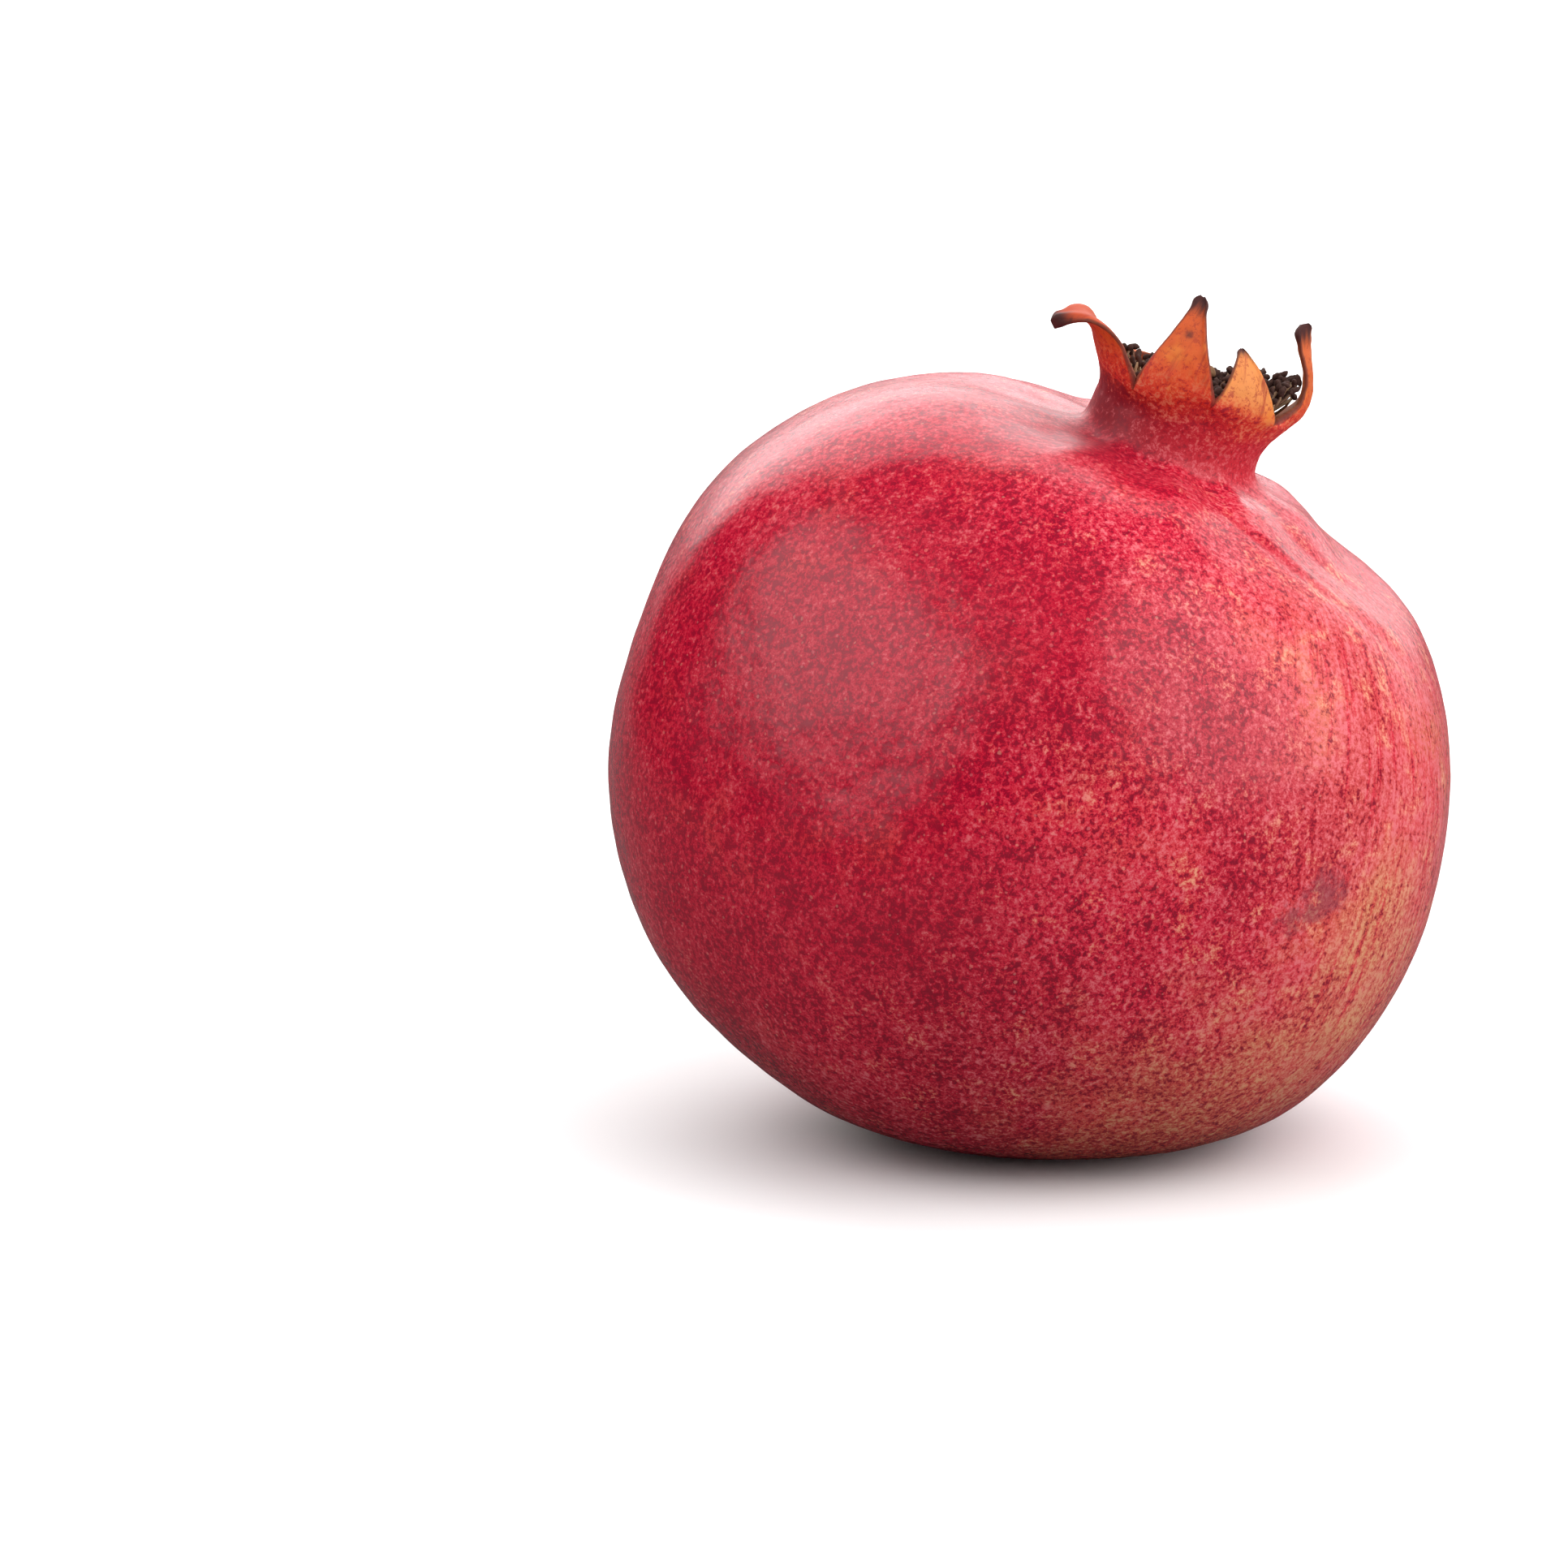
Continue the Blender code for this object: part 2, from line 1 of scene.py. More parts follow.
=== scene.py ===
"""The looks of a whole pomegranate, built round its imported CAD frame.

The rind is one fine mesh: body, neck, sepals and open cup.  The dried stamens, the style and the stub of
the stalk are pieces of their own.  All are modelled about the fruit's own axis (local Z runs from the
stalk end to the crown, local X to the right, local -Y to the front) and then leaned over, so that they
stand where the CAD nodes stand.
"""

import random
from math import acos, atan2, cos, degrees, exp, hypot, pi, radians, sin, sqrt

import bmesh
import bpy
from mathutils import Matrix, Vector, noise


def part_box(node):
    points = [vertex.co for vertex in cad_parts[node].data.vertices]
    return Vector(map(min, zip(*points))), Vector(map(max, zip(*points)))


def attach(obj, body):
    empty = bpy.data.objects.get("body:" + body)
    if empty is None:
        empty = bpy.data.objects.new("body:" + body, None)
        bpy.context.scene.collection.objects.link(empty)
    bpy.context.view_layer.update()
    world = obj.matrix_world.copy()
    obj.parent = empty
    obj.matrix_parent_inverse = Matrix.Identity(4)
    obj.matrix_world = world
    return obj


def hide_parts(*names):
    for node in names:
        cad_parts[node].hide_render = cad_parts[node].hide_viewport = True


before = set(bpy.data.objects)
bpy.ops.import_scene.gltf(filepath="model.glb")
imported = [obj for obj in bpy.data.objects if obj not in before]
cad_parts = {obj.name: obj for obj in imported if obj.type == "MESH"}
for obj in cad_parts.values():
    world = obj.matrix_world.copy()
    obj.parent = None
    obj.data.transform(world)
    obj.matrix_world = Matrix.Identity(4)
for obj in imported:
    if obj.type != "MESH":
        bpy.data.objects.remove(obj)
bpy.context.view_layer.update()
FRUIT_LOW, FRUIT_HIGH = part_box("fruit")

MM = 0.001

# How the fruit lies: its axis leans to the right and a little to the front.
LEAN_RIGHT = radians(23.7)
LEAN_FORWARD = radians(3.5)
CENTRE_HEIGHT = 42.2 * MM

# Body of the fruit, measured from its centre.
EQUATOR_RADIUS = 48.4 * MM
CROWN_END = 43.2 * MM
STEM_END = 44.6 * MM
SQUARENESS = 2.15
LOBES = 6
LOBE_SHARE = 0.010
LOBE_TURN = radians(-7)
SWELL_SHARE = 0.013
SWELL_ANGLE = radians(105)
SWELL_WAVES = 4.0
SHOULDER_DIP = 3.4 * MM
SHOULDER_SPREAD = 20 * MM
SHOULDER_SHIFT = Vector((-4 * MM, 0.0, 0.0))
FLANK_DIP = 2.6 * MM
FLANK_ANGLE = radians(32)
FLANK_SPREAD = radians(9)
CHEEK = 0.6 * MM
CHEEK_ANGLE = radians(57)
CHEEK_TURN = radians(90)
CHEEK_SPREAD = radians(15)
FACE_DEPTH = 1.6 * MM
FACE_TURN = radians(-38)
FACE_ANGLE = radians(76)
FACE_SPREAD = radians(27)
FOLDS = 9
FOLD_SHARE = 0.007
FOLD_START = radians(24)
FOLD_SPREAD = radians(14)
DIMPLE_DEPTH = 2 * MM
DIMPLE_RADIUS = 6 * MM
STEM_SPREAD = radians(9)

# The flat spot that the fruit rests on.
SAG_POINT = Vector((-3.5 * MM, 0.0))
SAG_DEPTH = 1.4 * MM
SAG_SPREAD = 13 * MM
SETTLE_HEIGHT = 6 * MM
SETTLE_SLOPE = 0.35

# The neck of the crown and the cup inside it.
NECK_JOIN_ANGLE = radians(19)
FILLET_FULLNESS = 0.55
NECK_RADIUS = 10 * MM
NECK_HEIGHT = 43.2 * MM
RIM_RADIUS = 11.5 * MM
RIM_FLARE = 1.7
RIM_THICKNESS = 1.2 * MM
CUP_RADIUS = 8.3 * MM
CUP_CORNER = 7.2 * MM
CUP_CORNER_HEIGHT = 0.8 * MM
CUP_FLARE = 0.4 * MM
WALL_HEIGHT = 45 * MM
CUP_FLOOR = 42.8 * MM
CUP_MIDDLE = 1.5 * MM
SLOPE_STEP = radians(2)
NOTCH_DRAW = 0.35 * MM
CROWN_SHIFT = Vector((-1.2 * MM, 0.0, 0.0))
# Painted shade on the left side of the neck: it is painted darker red about this turn, over this spread.
NECK_SHADE_TURN = radians(-62)
NECK_SHADE_SPREAD = radians(52)

# Blades of the sepals.
MARGIN_THICKNESS = 0.42 * MM
BLADE_THICKNESS = 1.25 * MM
TIP_THICKNESS = 0.8 * MM
SPINE_STEP = 0.02
KNOB_SHARE = 0.95
KNOB_SPREAD = 0.055
KNOB_WIDTH = 0.45 * MM
KNOB_THICKNESS = 0.5 * MM
KNOB_STAND = 0.3 * MM
TIP_START = 0.93
TIP_LENGTH = 0.075
ROLL_SHARE = 0.62
ROLL_SPREAD = 0.3

# The "crown" mark runs from nothing on the body, by these values, to one at the tips of the sepals; the
# cup has a value of its own.
CROWN_AT_NECK = 0.18
CROWN_AT_RIM = 0.36
CROWN_IN_CUP = 0.3

# Each sepal, as in the CAD: the turn and height of the notch on its left, then its outline, which stays
# wide for longer where "shoulder" is higher.  "knob" is how much the dried tip swells, "curl" how far the
# margins roll outwards near the tip and "roll" how far the right margin alone does (millimetres).  "warmth"
# is how far the colour runs from red through orange to peach, and "withered" how brown the blade is.
SEPALS = [
    dict(name="left", notch=-101.0, notch_height=46.6, lift=3.8, arch=(15.6, 52.4), reach=18.9,
         rise=48.5, drift=-2.6, twist=0.0, tip=0.5, shoulder=1.7, taper=1.2, knob=0.45, curl=0.6,
         roll=0.0, warmth=0.5, withered=0.0),
    dict(name="front", notch=-37.8, notch_height=45.7, lift=3.6, arch=(11.0, 54.6), reach=9.0,
         rise=58.4, drift=-12.0, twist=0.0, tip=0.6, shoulder=2.0, taper=1.8, knob=0.3, curl=0.3,
         roll=0.5, warmth=0.55, withered=0.1),
    dict(name="front_right", notch=6.8, notch_height=47.8, lift=2.0, arch=(10.0, 53.6), reach=6.8,
         rise=54.6, drift=-9.9, twist=0.0, tip=0.15, shoulder=1.45, taper=1.1, knob=0.15, curl=0.1,
         roll=0.3, warmth=1.0, withered=0.0),
    dict(name="right", notch=51.9, notch_height=48.0, lift=4.8, arch=(11.4, 55.0), reach=8.3,
         rise=59.2, drift=-8.0, twist=-34.0, tip=1.2, shoulder=0.4, taper=1.5, knob=0.35, curl=0.3,
         roll=0.0, warmth=0.65, withered=0.2),
    dict(name="back_right", notch=128.0, notch_height=46.4, lift=2.0, arch=(9.6, 49.4), reach=7.0,
         rise=49.3, drift=-12.0, twist=0.0, tip=0.4, shoulder=1.1, taper=1.1, knob=0.4, curl=0.3,
         roll=0.0, warmth=0.8, withered=0.3),
    dict(name="back_left", notch=190.0, notch_height=45.6, lift=1.2, arch=(10.4, 47.8), reach=8.4,
         rise=48.0, drift=-20.0, twist=0.0, tip=0.5, shoulder=1.2, taper=1.5, knob=0.4, curl=0.3,
         roll=0.0, warmth=0.7, withered=0.2),
]

# Small dark spot on the front sepal: its share of the way up the blade, and across it from the middle.
SPOT_DEPTH = 0.9
SPOT_SHARE = 0.66
SPOT_ACROSS = -0.1
SPOT_SPREAD = 0.03
SPOT_WIDTH = 0.25

# Dark line along the margins of the sepals, which bulge there by a share of their thickness.
MARGIN_SHADE = 0.62
MARGIN_LINE = 0.2 * MM
EDGE_SHADE = 0.8
EDGE_BULGE = 0.4

# Mesh density of the rind.
SEPAL_COLUMNS = 44
BODY_ROWS = 176
BODY_ROW_CROWDING = 1.3
FILLET_ROWS = 20
NECK_ROWS = 16
BLADE_ROWS = 40
WALL_ROWS = 8
FLOOR_ROWS = 4

# Fine relief of the rind.
CREASE_DEPTH = 0.4 * MM
UNEVEN_DEPTH = 0.45 * MM
UNEVEN_SIZE = 17 * MM
RIPPLE_DEPTH = 0.07 * MM
RIPPLE_SIZE = 3.2 * MM
WRINKLE_DEPTH = 0.16 * MM
WRINKLE_SIZE = (2.2 * MM, 2.2 * MM, 6 * MM)
PUCKER_DEPTH = 0.07 * MM
PUCKER_SIZE = 1.1 * MM

# Grooves that run out from the foot of the neck, each with a low ridge on its right: the angle and turn
# where it starts, the angle and turn where it ends, its width (degrees) and its share of the full depth.
CREASES = [
    (20, 10, 66, 98, 1.6, 1.0),
    (27, 42, 68, 78, 1.4, 0.4),
    (20, 46, 48, 84, 2.0, 0.6),
    (20, 84, 52, 98, 2.6, 0.5),
    (20, 118, 64, 130, 2.8, 0.5),
    (20, 154, 56, 168, 2.8, 0.4),
    (20, -128, 58, -138, 2.6, 0.4),
    (20, -156, 62, -148, 3.0, 0.5),
]

# How far a groove wanders (a share of its width) and how often, how soon it starts, its spread and how that
# narrows as it runs out, then the height, place and spread of its ridge, as shares of the groove's own.
CREASE_WANDER = 0.5
CREASE_WAVES = 9.0
CREASE_RISE = 4.0
CREASE_WIDTH = 1.7
CREASE_NARROWING = 0.6
RIDGE_HEIGHT = 0.6
RIDGE_OFFSET = 2.6
RIDGE_WIDTH = 1.7

# Tints of the rind: the mark, the angle and turn of its middle, its spread (degrees) and its amount.
# Some pale tints are partly a painted highlight, and some deep ones partly or wholly painted shade.
TINTS = [
    # Paler, warmer skin on the upper right: partly the rind's own colour, partly a painted highlight.
    ("pale", 52, 56, 22, 0.9),
    ("pale", 66, 88, 26, 0.5),
    ("pale", 70, 170, 34, 0.8),
    ("pale", 60, -130, 26, 0.6),
    # Paler spot on the ridge right of the crown: partly the rind's own paler skin, partly a painted
    # highlight.
    ("pale", 51, 44, 12, 0.9),
    # Paler skin on the lower right edge: partly the rind's own cream and olive, partly painted light.
    ("pale", 80, 62, 19, 1.0),
    ("pale", 100, 58, 18, 0.8),
    ("olive", 82, 52, 9, 0.55),
    ("olive", 94, 62, 15, 0.45),
    ("olive", 118, 42, 26, 0.7),
    ("olive", 75, 5, 12, 0.3),
    ("olive", 105, 150, 30, 0.8),
    ("olive", 120, -120, 26, 0.6),
    ("deep", 76, -44, 28, 1.0),
    # Deeper red towards the lower left: partly the rind's own colour, partly painted shade.
    ("deep", 112, -50, 34, 1.0),
    ("deep", 60, -16, 11, 0.9),
    ("deep", 66, 24, 9, 0.5),
    ("deep", 62, 6, 10, 0.4),
    ("deep", 27, -12, 8, 0.6),
    # Painted shade: darker red low down, just left of the middle.
    ("deep", 100, -14, 16, 0.6),
    ("deep", 44, -50, 12, 0.5),
    # Painted shade: a narrow band near the right edge, where little sheen falls, painted deeper red with
    # fewer grains.
    ("deep", 58, 96, 9, 0.8),
    # Painted shade on the left of the neck's foot: deeper red, and the matt mark darkens it as well as
    # roughening it.
    ("deep", 23, -50, 12, 1.0),
    ("matt", 22, -50, 14, 1.0),
    ("bruise", 80, 41, 5.0, 0.9),
    ("bruise", 85, 35, 4.0, 0.6),
    ("bruise", 96, -172, 6.0, 0.5),
]

# Dried stamens.  They crowd to the right and stand highest there, and reach out least at the back.
GAP = 0.3 * MM
STAMEN_SEED = 11
STAMEN_COUNT = 290
STAMEN_TURN_SHARE = 0.618034
STAMEN_CROWDING = 0.6
STAMEN_ROOTS = (2.6 * MM, 7.4 * MM)
STAMEN_INNER_REACH = 1.6 * MM
STAMEN_REACH = 10.6 * MM
STAMEN_BACK_TURN = radians(185)
STAMEN_BACK_HOLD = 4 * MM
STAMEN_TOP = 46.3 * MM
STAMEN_TOP_SPREAD = 2 * MM
STAMEN_RIGHT_RISE = 4.8 * MM
STAMEN_LOOSENESS = 1.6 * MM
STAMEN_CLEARANCE = 0.5 * MM
STAMEN_FLARE = 3 * MM
STAMEN_FLARE_HEIGHT = 7.5 * MM
FILAMENT_SIDES = 6
FILAMENT_STEPS = 9
FILAMENT_THICKNESS = 0.19 * MM
ANTHER_SIDES = 8
ANTHER_STEPS = 6
ANTHER_LENGTHS = (1.1 * MM, 1.6 * MM)
ANTHER_WIDTHS = (0.32 * MM, 0.46 * MM)
ANTHER_BEND = 0.25 * MM
ANTHER_OFFSET = 0.25 * MM
ANTHER_WAIST = 0.18

# Style and stub.
STYLE_FOOT = CUP_FLOOR + GAP
STYLE_TOP = 50.4 * MM
STYLE_RADIUS = 0.6 * MM
STYLE_STEPS = 24
STYLE_SIDES = 18
STYLE_FLUTES = 5
STYLE_FLUTE_DEPTH = 0.05 * MM
STYLE_FLUTE_TWIST = 900.0
STYLE_BEND = 0.9 * MM
STYLE_SWAY = 0.4 * MM
STYLE_TAPER = 0.25
STYLE_FOOT_SWELL = 0.25
STYLE_FOOT_SPREAD = 0.12
STIGMA_SWELL = 0.75
STIGMA_SHARE = 0.93
STIGMA_SPREAD = 0.055
STIGMA_END = (0.92, 0.09, 0.05)
STUB_FOOT = 43.1 * MM
STUB_LENGTH = 1.6 * MM
STUB_RADIUS = 2.7 * MM
STUB_END_RADIUS = 2.9 * MM
STUB_BEVEL = 0.25 * MM
STUB_BEVEL_DEPTH = 0.22 * MM
STUB_BARK_SHARE = 0.86
STUB_COLUMNS = 72
STUB_BARK_ROWS = 10
STUB_BEVEL_ROWS = 4
STUB_CUT_ROWS = 14
STUB_RIDGES = 5
STUB_RIDGE_SHARE = 0.05
STUB_FLUTES = 17
STUB_FLUTE_SHARE = 0.015
STUB_FLUTE_TWIST = 700.0
STUB_RING_DEPTH = 0.03 * MM
STUB_CRACK_DEPTH = 0.12 * MM
# Cracks of the cut end: the turn at the middle, how far it swings with the radius, and the width.
STUB_CRACKS = [(2.1, 60.0, 0.16), (-0.7, 0.0, 0.12)]


# ---- Shape of the fruit ----


def placement():
    """World placement of the fruit's own axes."""
    lean = Matrix.Rotation(LEAN_RIGHT, 4, "Y") @ Matrix.Rotation(LEAN_FORWARD, 4, "X")
    return Matrix.Translation((0.0, 0.0, FRUIT_LOW.z + CENTRE_HEIGHT)) @ lean


PLACE = placement()


def around(radius, turn, height):
    """Point at a distance from the axis; turn 0 is the front and a quarter turn is the right."""
    return Vector((radius * sin(turn), -radius * cos(turn), height))


def around_crown(radius, turn, height):
    """The same, about the middle of the crown, which sits a little off the axis."""
    return around(radius, turn, height) + CROWN_SHIFT


def blend(start, end, share):
    return start + (end - start) * share


def ease(share):
    """Smooth step from 0 to 1."""
    share = min(max(share, 0.0), 1.0)
    return share * share * (3.0 - 2.0 * share)


def bell(offset, spread):
    return exp(-((offset / spread) ** 2))


def plateau(offset, spread):
    """A bell with a flat top."""
    return exp(-((offset / spread) ** 4))


def rounded(share, start, length, least=0.0):
    """Width, as a share, of an end that starts to round off at start and closes a length further on."""
    return sqrt(max(1.0 - (max(share - start, 0.0) / length) ** 2, least))


def turned(turn, middle):
    """Smallest signed difference between two turns."""
    return (turn - middle + pi) % (2.0 * pi) - pi


def apart(angle, turn, other_angle, other_turn):
    """Angle between two directions from the centre of the fruit."""
    cosine = cos(angle) * cos(other_angle)
    cosine += sin(angle) * sin(other_angle) * cos(turn - other_turn)
    return acos(min(max(cosine, -1.0), 1.0))


def crease(angle, turn):
    """Depth share of the grooves at the foot of the neck; their ridges count as less than nothing."""
    depth = 0.0
    for start, start_turn, end, end_turn, width, share in CREASES:
        along = (degrees(angle) - start) / (end - start)
        if 0.0 < along < 1.0:
            wander = CREASE_WANDER * width * sin(CREASE_WAVES * along + start_turn)
            middle = blend(start_turn, end_turn, along) + wander
            offset = degrees(turned(turn, radians(middle)))
            spread = width * (CREASE_WIDTH - CREASE_NARROWING * along)
            ridge = RIDGE_HEIGHT * bell(offset - RIDGE_OFFSET * spread, RIDGE_WIDTH * spread)
            fade = ease(along * CREASE_RISE) * (1.0 - ease(along))
            depth += share * fade * (bell(offset, spread) - ridge)
    return depth


def rind_radius(angle, turn):
    """Distance from the centre to the rind, by the angle from the crown and the turn about the axis."""
    upper = cos(angle) > 0.0
    across = abs(sin(angle) / EQUATOR_RADIUS) ** SQUARENESS
    along = abs(cos(angle) / (CROWN_END if upper else STEM_END)) ** SQUARENESS
    smooth = (across + along) ** (-1.0 / SQUARENESS)
    girth = sin(angle) ** 2
    lobes = LOBE_SHARE * cos(LOBES * (turn - LOBE_TURN)) * girth
    swell = SWELL_SHARE * sin(turn) * cos(SWELL_WAVES * (angle - SWELL_ANGLE)) * girth
    fold_fade = bell(angle - FOLD_START, FOLD_SPREAD)
    folds = FOLD_SHARE * cos(FOLDS * turn + sin(2.0 * turn)) * fold_fade
    from_crown = (around(smooth * sin(angle), turn, 0.0) - SHOULDER_SHIFT).length
    dip = SHOULDER_DIP * plateau(from_crown, SHOULDER_SPREAD) if upper else 0.0
    dip += FLANK_DIP * bell(angle - FLANK_ANGLE, FLANK_SPREAD) * max(sin(turn), 0.0)
    face = FACE_DEPTH * plateau(apart(angle, turn, FACE_ANGLE, FACE_TURN), FACE_SPREAD)
    cheek = CHEEK * bell(apart(angle, turn, CHEEK_ANGLE, CHEEK_TURN), CHEEK_SPREAD)
    return smooth * (1.0 + lobes + swell + folds) + cheek - dip - face - CREASE_DEPTH * crease(angle, turn)


def rind_point(angle, turn):
    radius = rind_radius(angle, turn)
    from_axis = radius * sin(angle)
    height = radius * cos(angle)
    if height < 0.0:
        height += DIMPLE_DEPTH * exp(-((from_axis / DIMPLE_RADIUS) ** 3))
    point = around(from_axis, turn, height)
    away = point.normalized()
    uneven = UNEVEN_DEPTH * noise.noise(point / UNEVEN_SIZE)
    ripple = RIPPLE_DEPTH * noise.noise(point / RIPPLE_SIZE)
    return point + away * (uneven + ripple)


def column_turns():
    """Turn of every column of the mesh: equal shares of each sepal's span."""
    turns = []
    for index, sepal in enumerate(SEPALS):
        start = sepal["notch"]
        following = SEPALS[(index + 1) % len(SEPALS)]["notch"]
        span = (following - start) % 360.0
        for step in range(SEPAL_COLUMNS):
            turns.append(radians(start + span * step / SEPAL_COLUMNS))
    return turns


TURNS = column_turns()


def rim_height(column):
    """Height of the rim where the sepals part, from notch to notch."""
    index, step = divmod(column, SEPAL_COLUMNS)
    here = SEPALS[index]["notch_height"]
    following = SEPALS[(index + 1) % len(SEPALS)]["notch_height"]
    return blend(here, following, ease(step / SEPAL_COLUMNS)) * MM


def bezier(start, start_handle, end_handle, end, share):
    rest = 1.0 - share
    return (
        start * rest**3
        + start_handle * (3.0 * rest * rest * share)
        + end_handle * (3.0 * rest * share * share)
        + end * share**3
    )


class Skin:
    """A mesh under construction, whose vertices carry the surface marks that its material reads."""

    def __init__(self, marks):
        self.mesh = bmesh.new()
        self.layers = {name: self.mesh.verts.layers.float.new(name) for name in marks}

    def put(self, point, **marks):
        vert = self.mesh.verts.new(point)
        for name, value in marks.items():
            vert[self.layers[name]] = value
        return vert

    def face(self, *corners):
        self.mesh.faces.new(corners)

    def bridge(self, lower, upper):
        """Quads between two rings that run the same way round; they face out when upper is higher."""
        count = len(lower)
        for column in range(count):
            following = (column + 1) % count
            self.face(lower[column], lower[following], upper[following], upper[column])

    def fan(self, middle, ring):
        """Triangles from a ring in to its middle."""
        for place, corner in enumerate(ring):
            self.face(middle, corner, ring[(place + 1) % len(ring)])

    def finish(self, name):
        data = bpy.data.meshes.new(name)
        self.mesh.to_mesh(data)
        self.mesh.free()
        data.shade_smooth()
        return add_object(name, data)


def add_object(name, data):
    item = bpy.data.objects.new(name, data)
    bpy.context.scene.collection.objects.link(item)
    return item


RIND_MARKS = [
    "crown", "margin", "inner", "spot", "groove_shade", "warmth", "withered",
    "pale", "olive", "deep", "bruise", "stem", "matt",
]


def body_ring(skin, angle):
    ring = []
    for turn in TURNS:
        ring.append(skin.put(rind_point(angle, turn), **body_marks(angle, turn)))
    return ring


def body_marks(angle, turn):
    """Where the rind is paler, deeper red, olive or bruised, by direction from the centre; partly painted
    highlight and shade.
    """
    marks = dict(pale=0.0, olive=0.0, deep=0.0, bruise=0.0, matt=0.0)
    for name, at_angle, at_turn, spread, amount in TINTS:
        away = degrees(apart(angle, turn, radians(at_angle), radians(at_turn)))
        marks[name] = min(marks[name] + amount * bell(away, spread), 1.0)
    marks["stem"] = bell(pi - angle, STEM_SPREAD)
    # Painted shade: this mark paints the grooves darker red.
    marks["groove_shade"] = max(crease(angle, turn), 0.0)
    return marks


def fillet_ring(skin, share):
    """Ring on the hollow curve that carries the shoulder of the body up into the neck."""
    ring = []
    rise = ease(share)
    for turn in TURNS:
        foot = rind_point(NECK_JOIN_ANGLE, turn)
        below = rind_point(NECK_JOIN_ANGLE + SLOPE_STEP, turn)
        top = around_crown(NECK_RADIUS, turn, NECK_HEIGHT)
        reach = (top - foot).length
        foot_handle = foot + (foot - below).normalized() * (reach * FILLET_FULLNESS)
        top_handle = top - Vector((0.0, 0.0, reach * FILLET_FULLNESS))
        marks = body_marks(NECK_JOIN_ANGLE, turn)
        marks = {name: value * (1.0 - rise) for name, value in marks.items()}
        # Painted shade: up the fillet the deep mark grows on the left side of the neck.
        marks["deep"] += bell(turned(turn, NECK_SHADE_TURN), NECK_SHADE_SPREAD) * rise
        marks["crown"] = CROWN_AT_NECK * rise
        ring.append(skin.put(bezier(foot, foot_handle, top_handle, top, share), **marks))
    return ring


def neck_ring(skin, share):
    """Ring between the straight foot of the neck and its flared rim, drawn in below each notch."""
    ring = []
    for column, turn in enumerate(TURNS):
        seam = abs(column % SEPAL_COLUMNS / SEPAL_COLUMNS - 0.5) * 2.0
        radius = blend(NECK_RADIUS, RIM_RADIUS, share**RIM_FLARE)
        radius -= NOTCH_DRAW * seam**6 * ease(share * 1.4)
        height = blend(NECK_HEIGHT, rim_height(column), share)
        point = around_crown(radius, turn, height)
        marks = sepal_marks(column)
        # Painted shade: on the neck the deep mark is only the darker left side.
        marks["deep"] = bell(turned(turn, NECK_SHADE_TURN), NECK_SHADE_SPREAD)
        marks["crown"] = blend(CROWN_AT_NECK, CROWN_AT_RIM, share)
        # Painted shade in the notches between the sepals.
        marks["groove_shade"] = 0.7 * ease(share * 1.6 - 0.6) * seam**14
        ring.append(skin.put(point + neck_wrinkle(point), **marks))
    return ring


def neck_wrinkle(point):
    """Shallow unevenness of the neck and the sepals, drawn out along the axis."""
    drawn = Vector([place / size for place, size in zip(point, WRINKLE_SIZE)])
    away = Vector((point.x, point.y, 0.0)).normalized()
    return away * (WRINKLE_DEPTH * noise.noise(drawn) + PUCKER_DEPTH * noise.noise(point / PUCKER_SIZE))


def sepal_marks(column):
    """Colour marks at a column of the neck, eased from one sepal's to the next one's."""
    index, step = divmod(column, SEPAL_COLUMNS)
    share = step / SEPAL_COLUMNS
    side = -1 if share < 0.5 else 1
    here = SEPALS[index]
    beside = SEPALS[(index + side) % len(SEPALS)]
    mix = 0.5 * (1.0 - ease(2.0 * min(share, 1.0 - share)))
    return {name: blend(here[name], beside[name], mix) for name in ("warmth", "withered")}


def inner_rings(skin):
    """Rings from the rim down the inside of the cup and in to its middle."""
    wall = CUP_RADIUS + CUP_FLARE
    rings = []
    for share in steps(WALL_ROWS):
        radius = blend(RIM_RADIUS - RIM_THICKNESS, wall, share)
        heights = [blend(rim_height(column), WALL_HEIGHT, share) for column in range(len(TURNS))]
        rings.append(cup_ring(skin, radius, heights))
    profile = [
        (wall, WALL_HEIGHT),
        (CUP_RADIUS, CUP_FLOOR + CUP_CORNER_HEIGHT),
        (CUP_CORNER, CUP_FLOOR),
        (CUP_MIDDLE, CUP_FLOOR),
    ]
    for (radius, height), (next_radius, next_height) in zip(profile, profile[1:]):
        for share in steps(FLOOR_ROWS)[1:]:
            level = blend(height, next_height, share)
            rings.append(cup_ring(skin, blend(radius, next_radius, share), [level] * len(TURNS)))
    return rings


def cup_ring(skin, radius, heights):
    """Ring inside the cup, with its own height at each column."""
    ring = []
    for turn, height in zip(TURNS, heights):
        ring.append(skin.put(around_crown(radius, turn, height), crown=CROWN_IN_CUP, inner=1.0))
    return ring


def steps(count):
    return [step / count for step in range(count + 1)]


def blade_frame(sepal, root, root_handle, middle, share):
    """Middle of a blade at a share of its length, the way it faces there and the way across it."""
    arch = Vector(sepal["arch"]) * MM
    tip = Vector((sepal["reach"], sepal["rise"])) * MM
    curve = (root, root_handle, arch, tip)
    spine = bezier(*curve, share)
    ahead = bezier(*curve, min(share + SPINE_STEP, 1.0))
    behind = bezier(*curve, max(share - SPINE_STEP, 0.0))
    along = (ahead - behind).normalized()
    turn = middle + radians(sepal["drift"]) * share**2
    away = around(1.0, turn, 0.0)
    side = around(1.0, turn + pi / 2.0, 0.0)
    leaned = away * along.y - Vector((0.0, 0.0, along.x))
    outward = blend(away, leaned, ease(share * 2.0)).normalized()
    twist = Matrix.Rotation(radians(sepal["twist"]) * share**2, 3, outward.cross(side))
    return around_crown(spine.x, turn, spine.y), twist @ outward, twist @ side


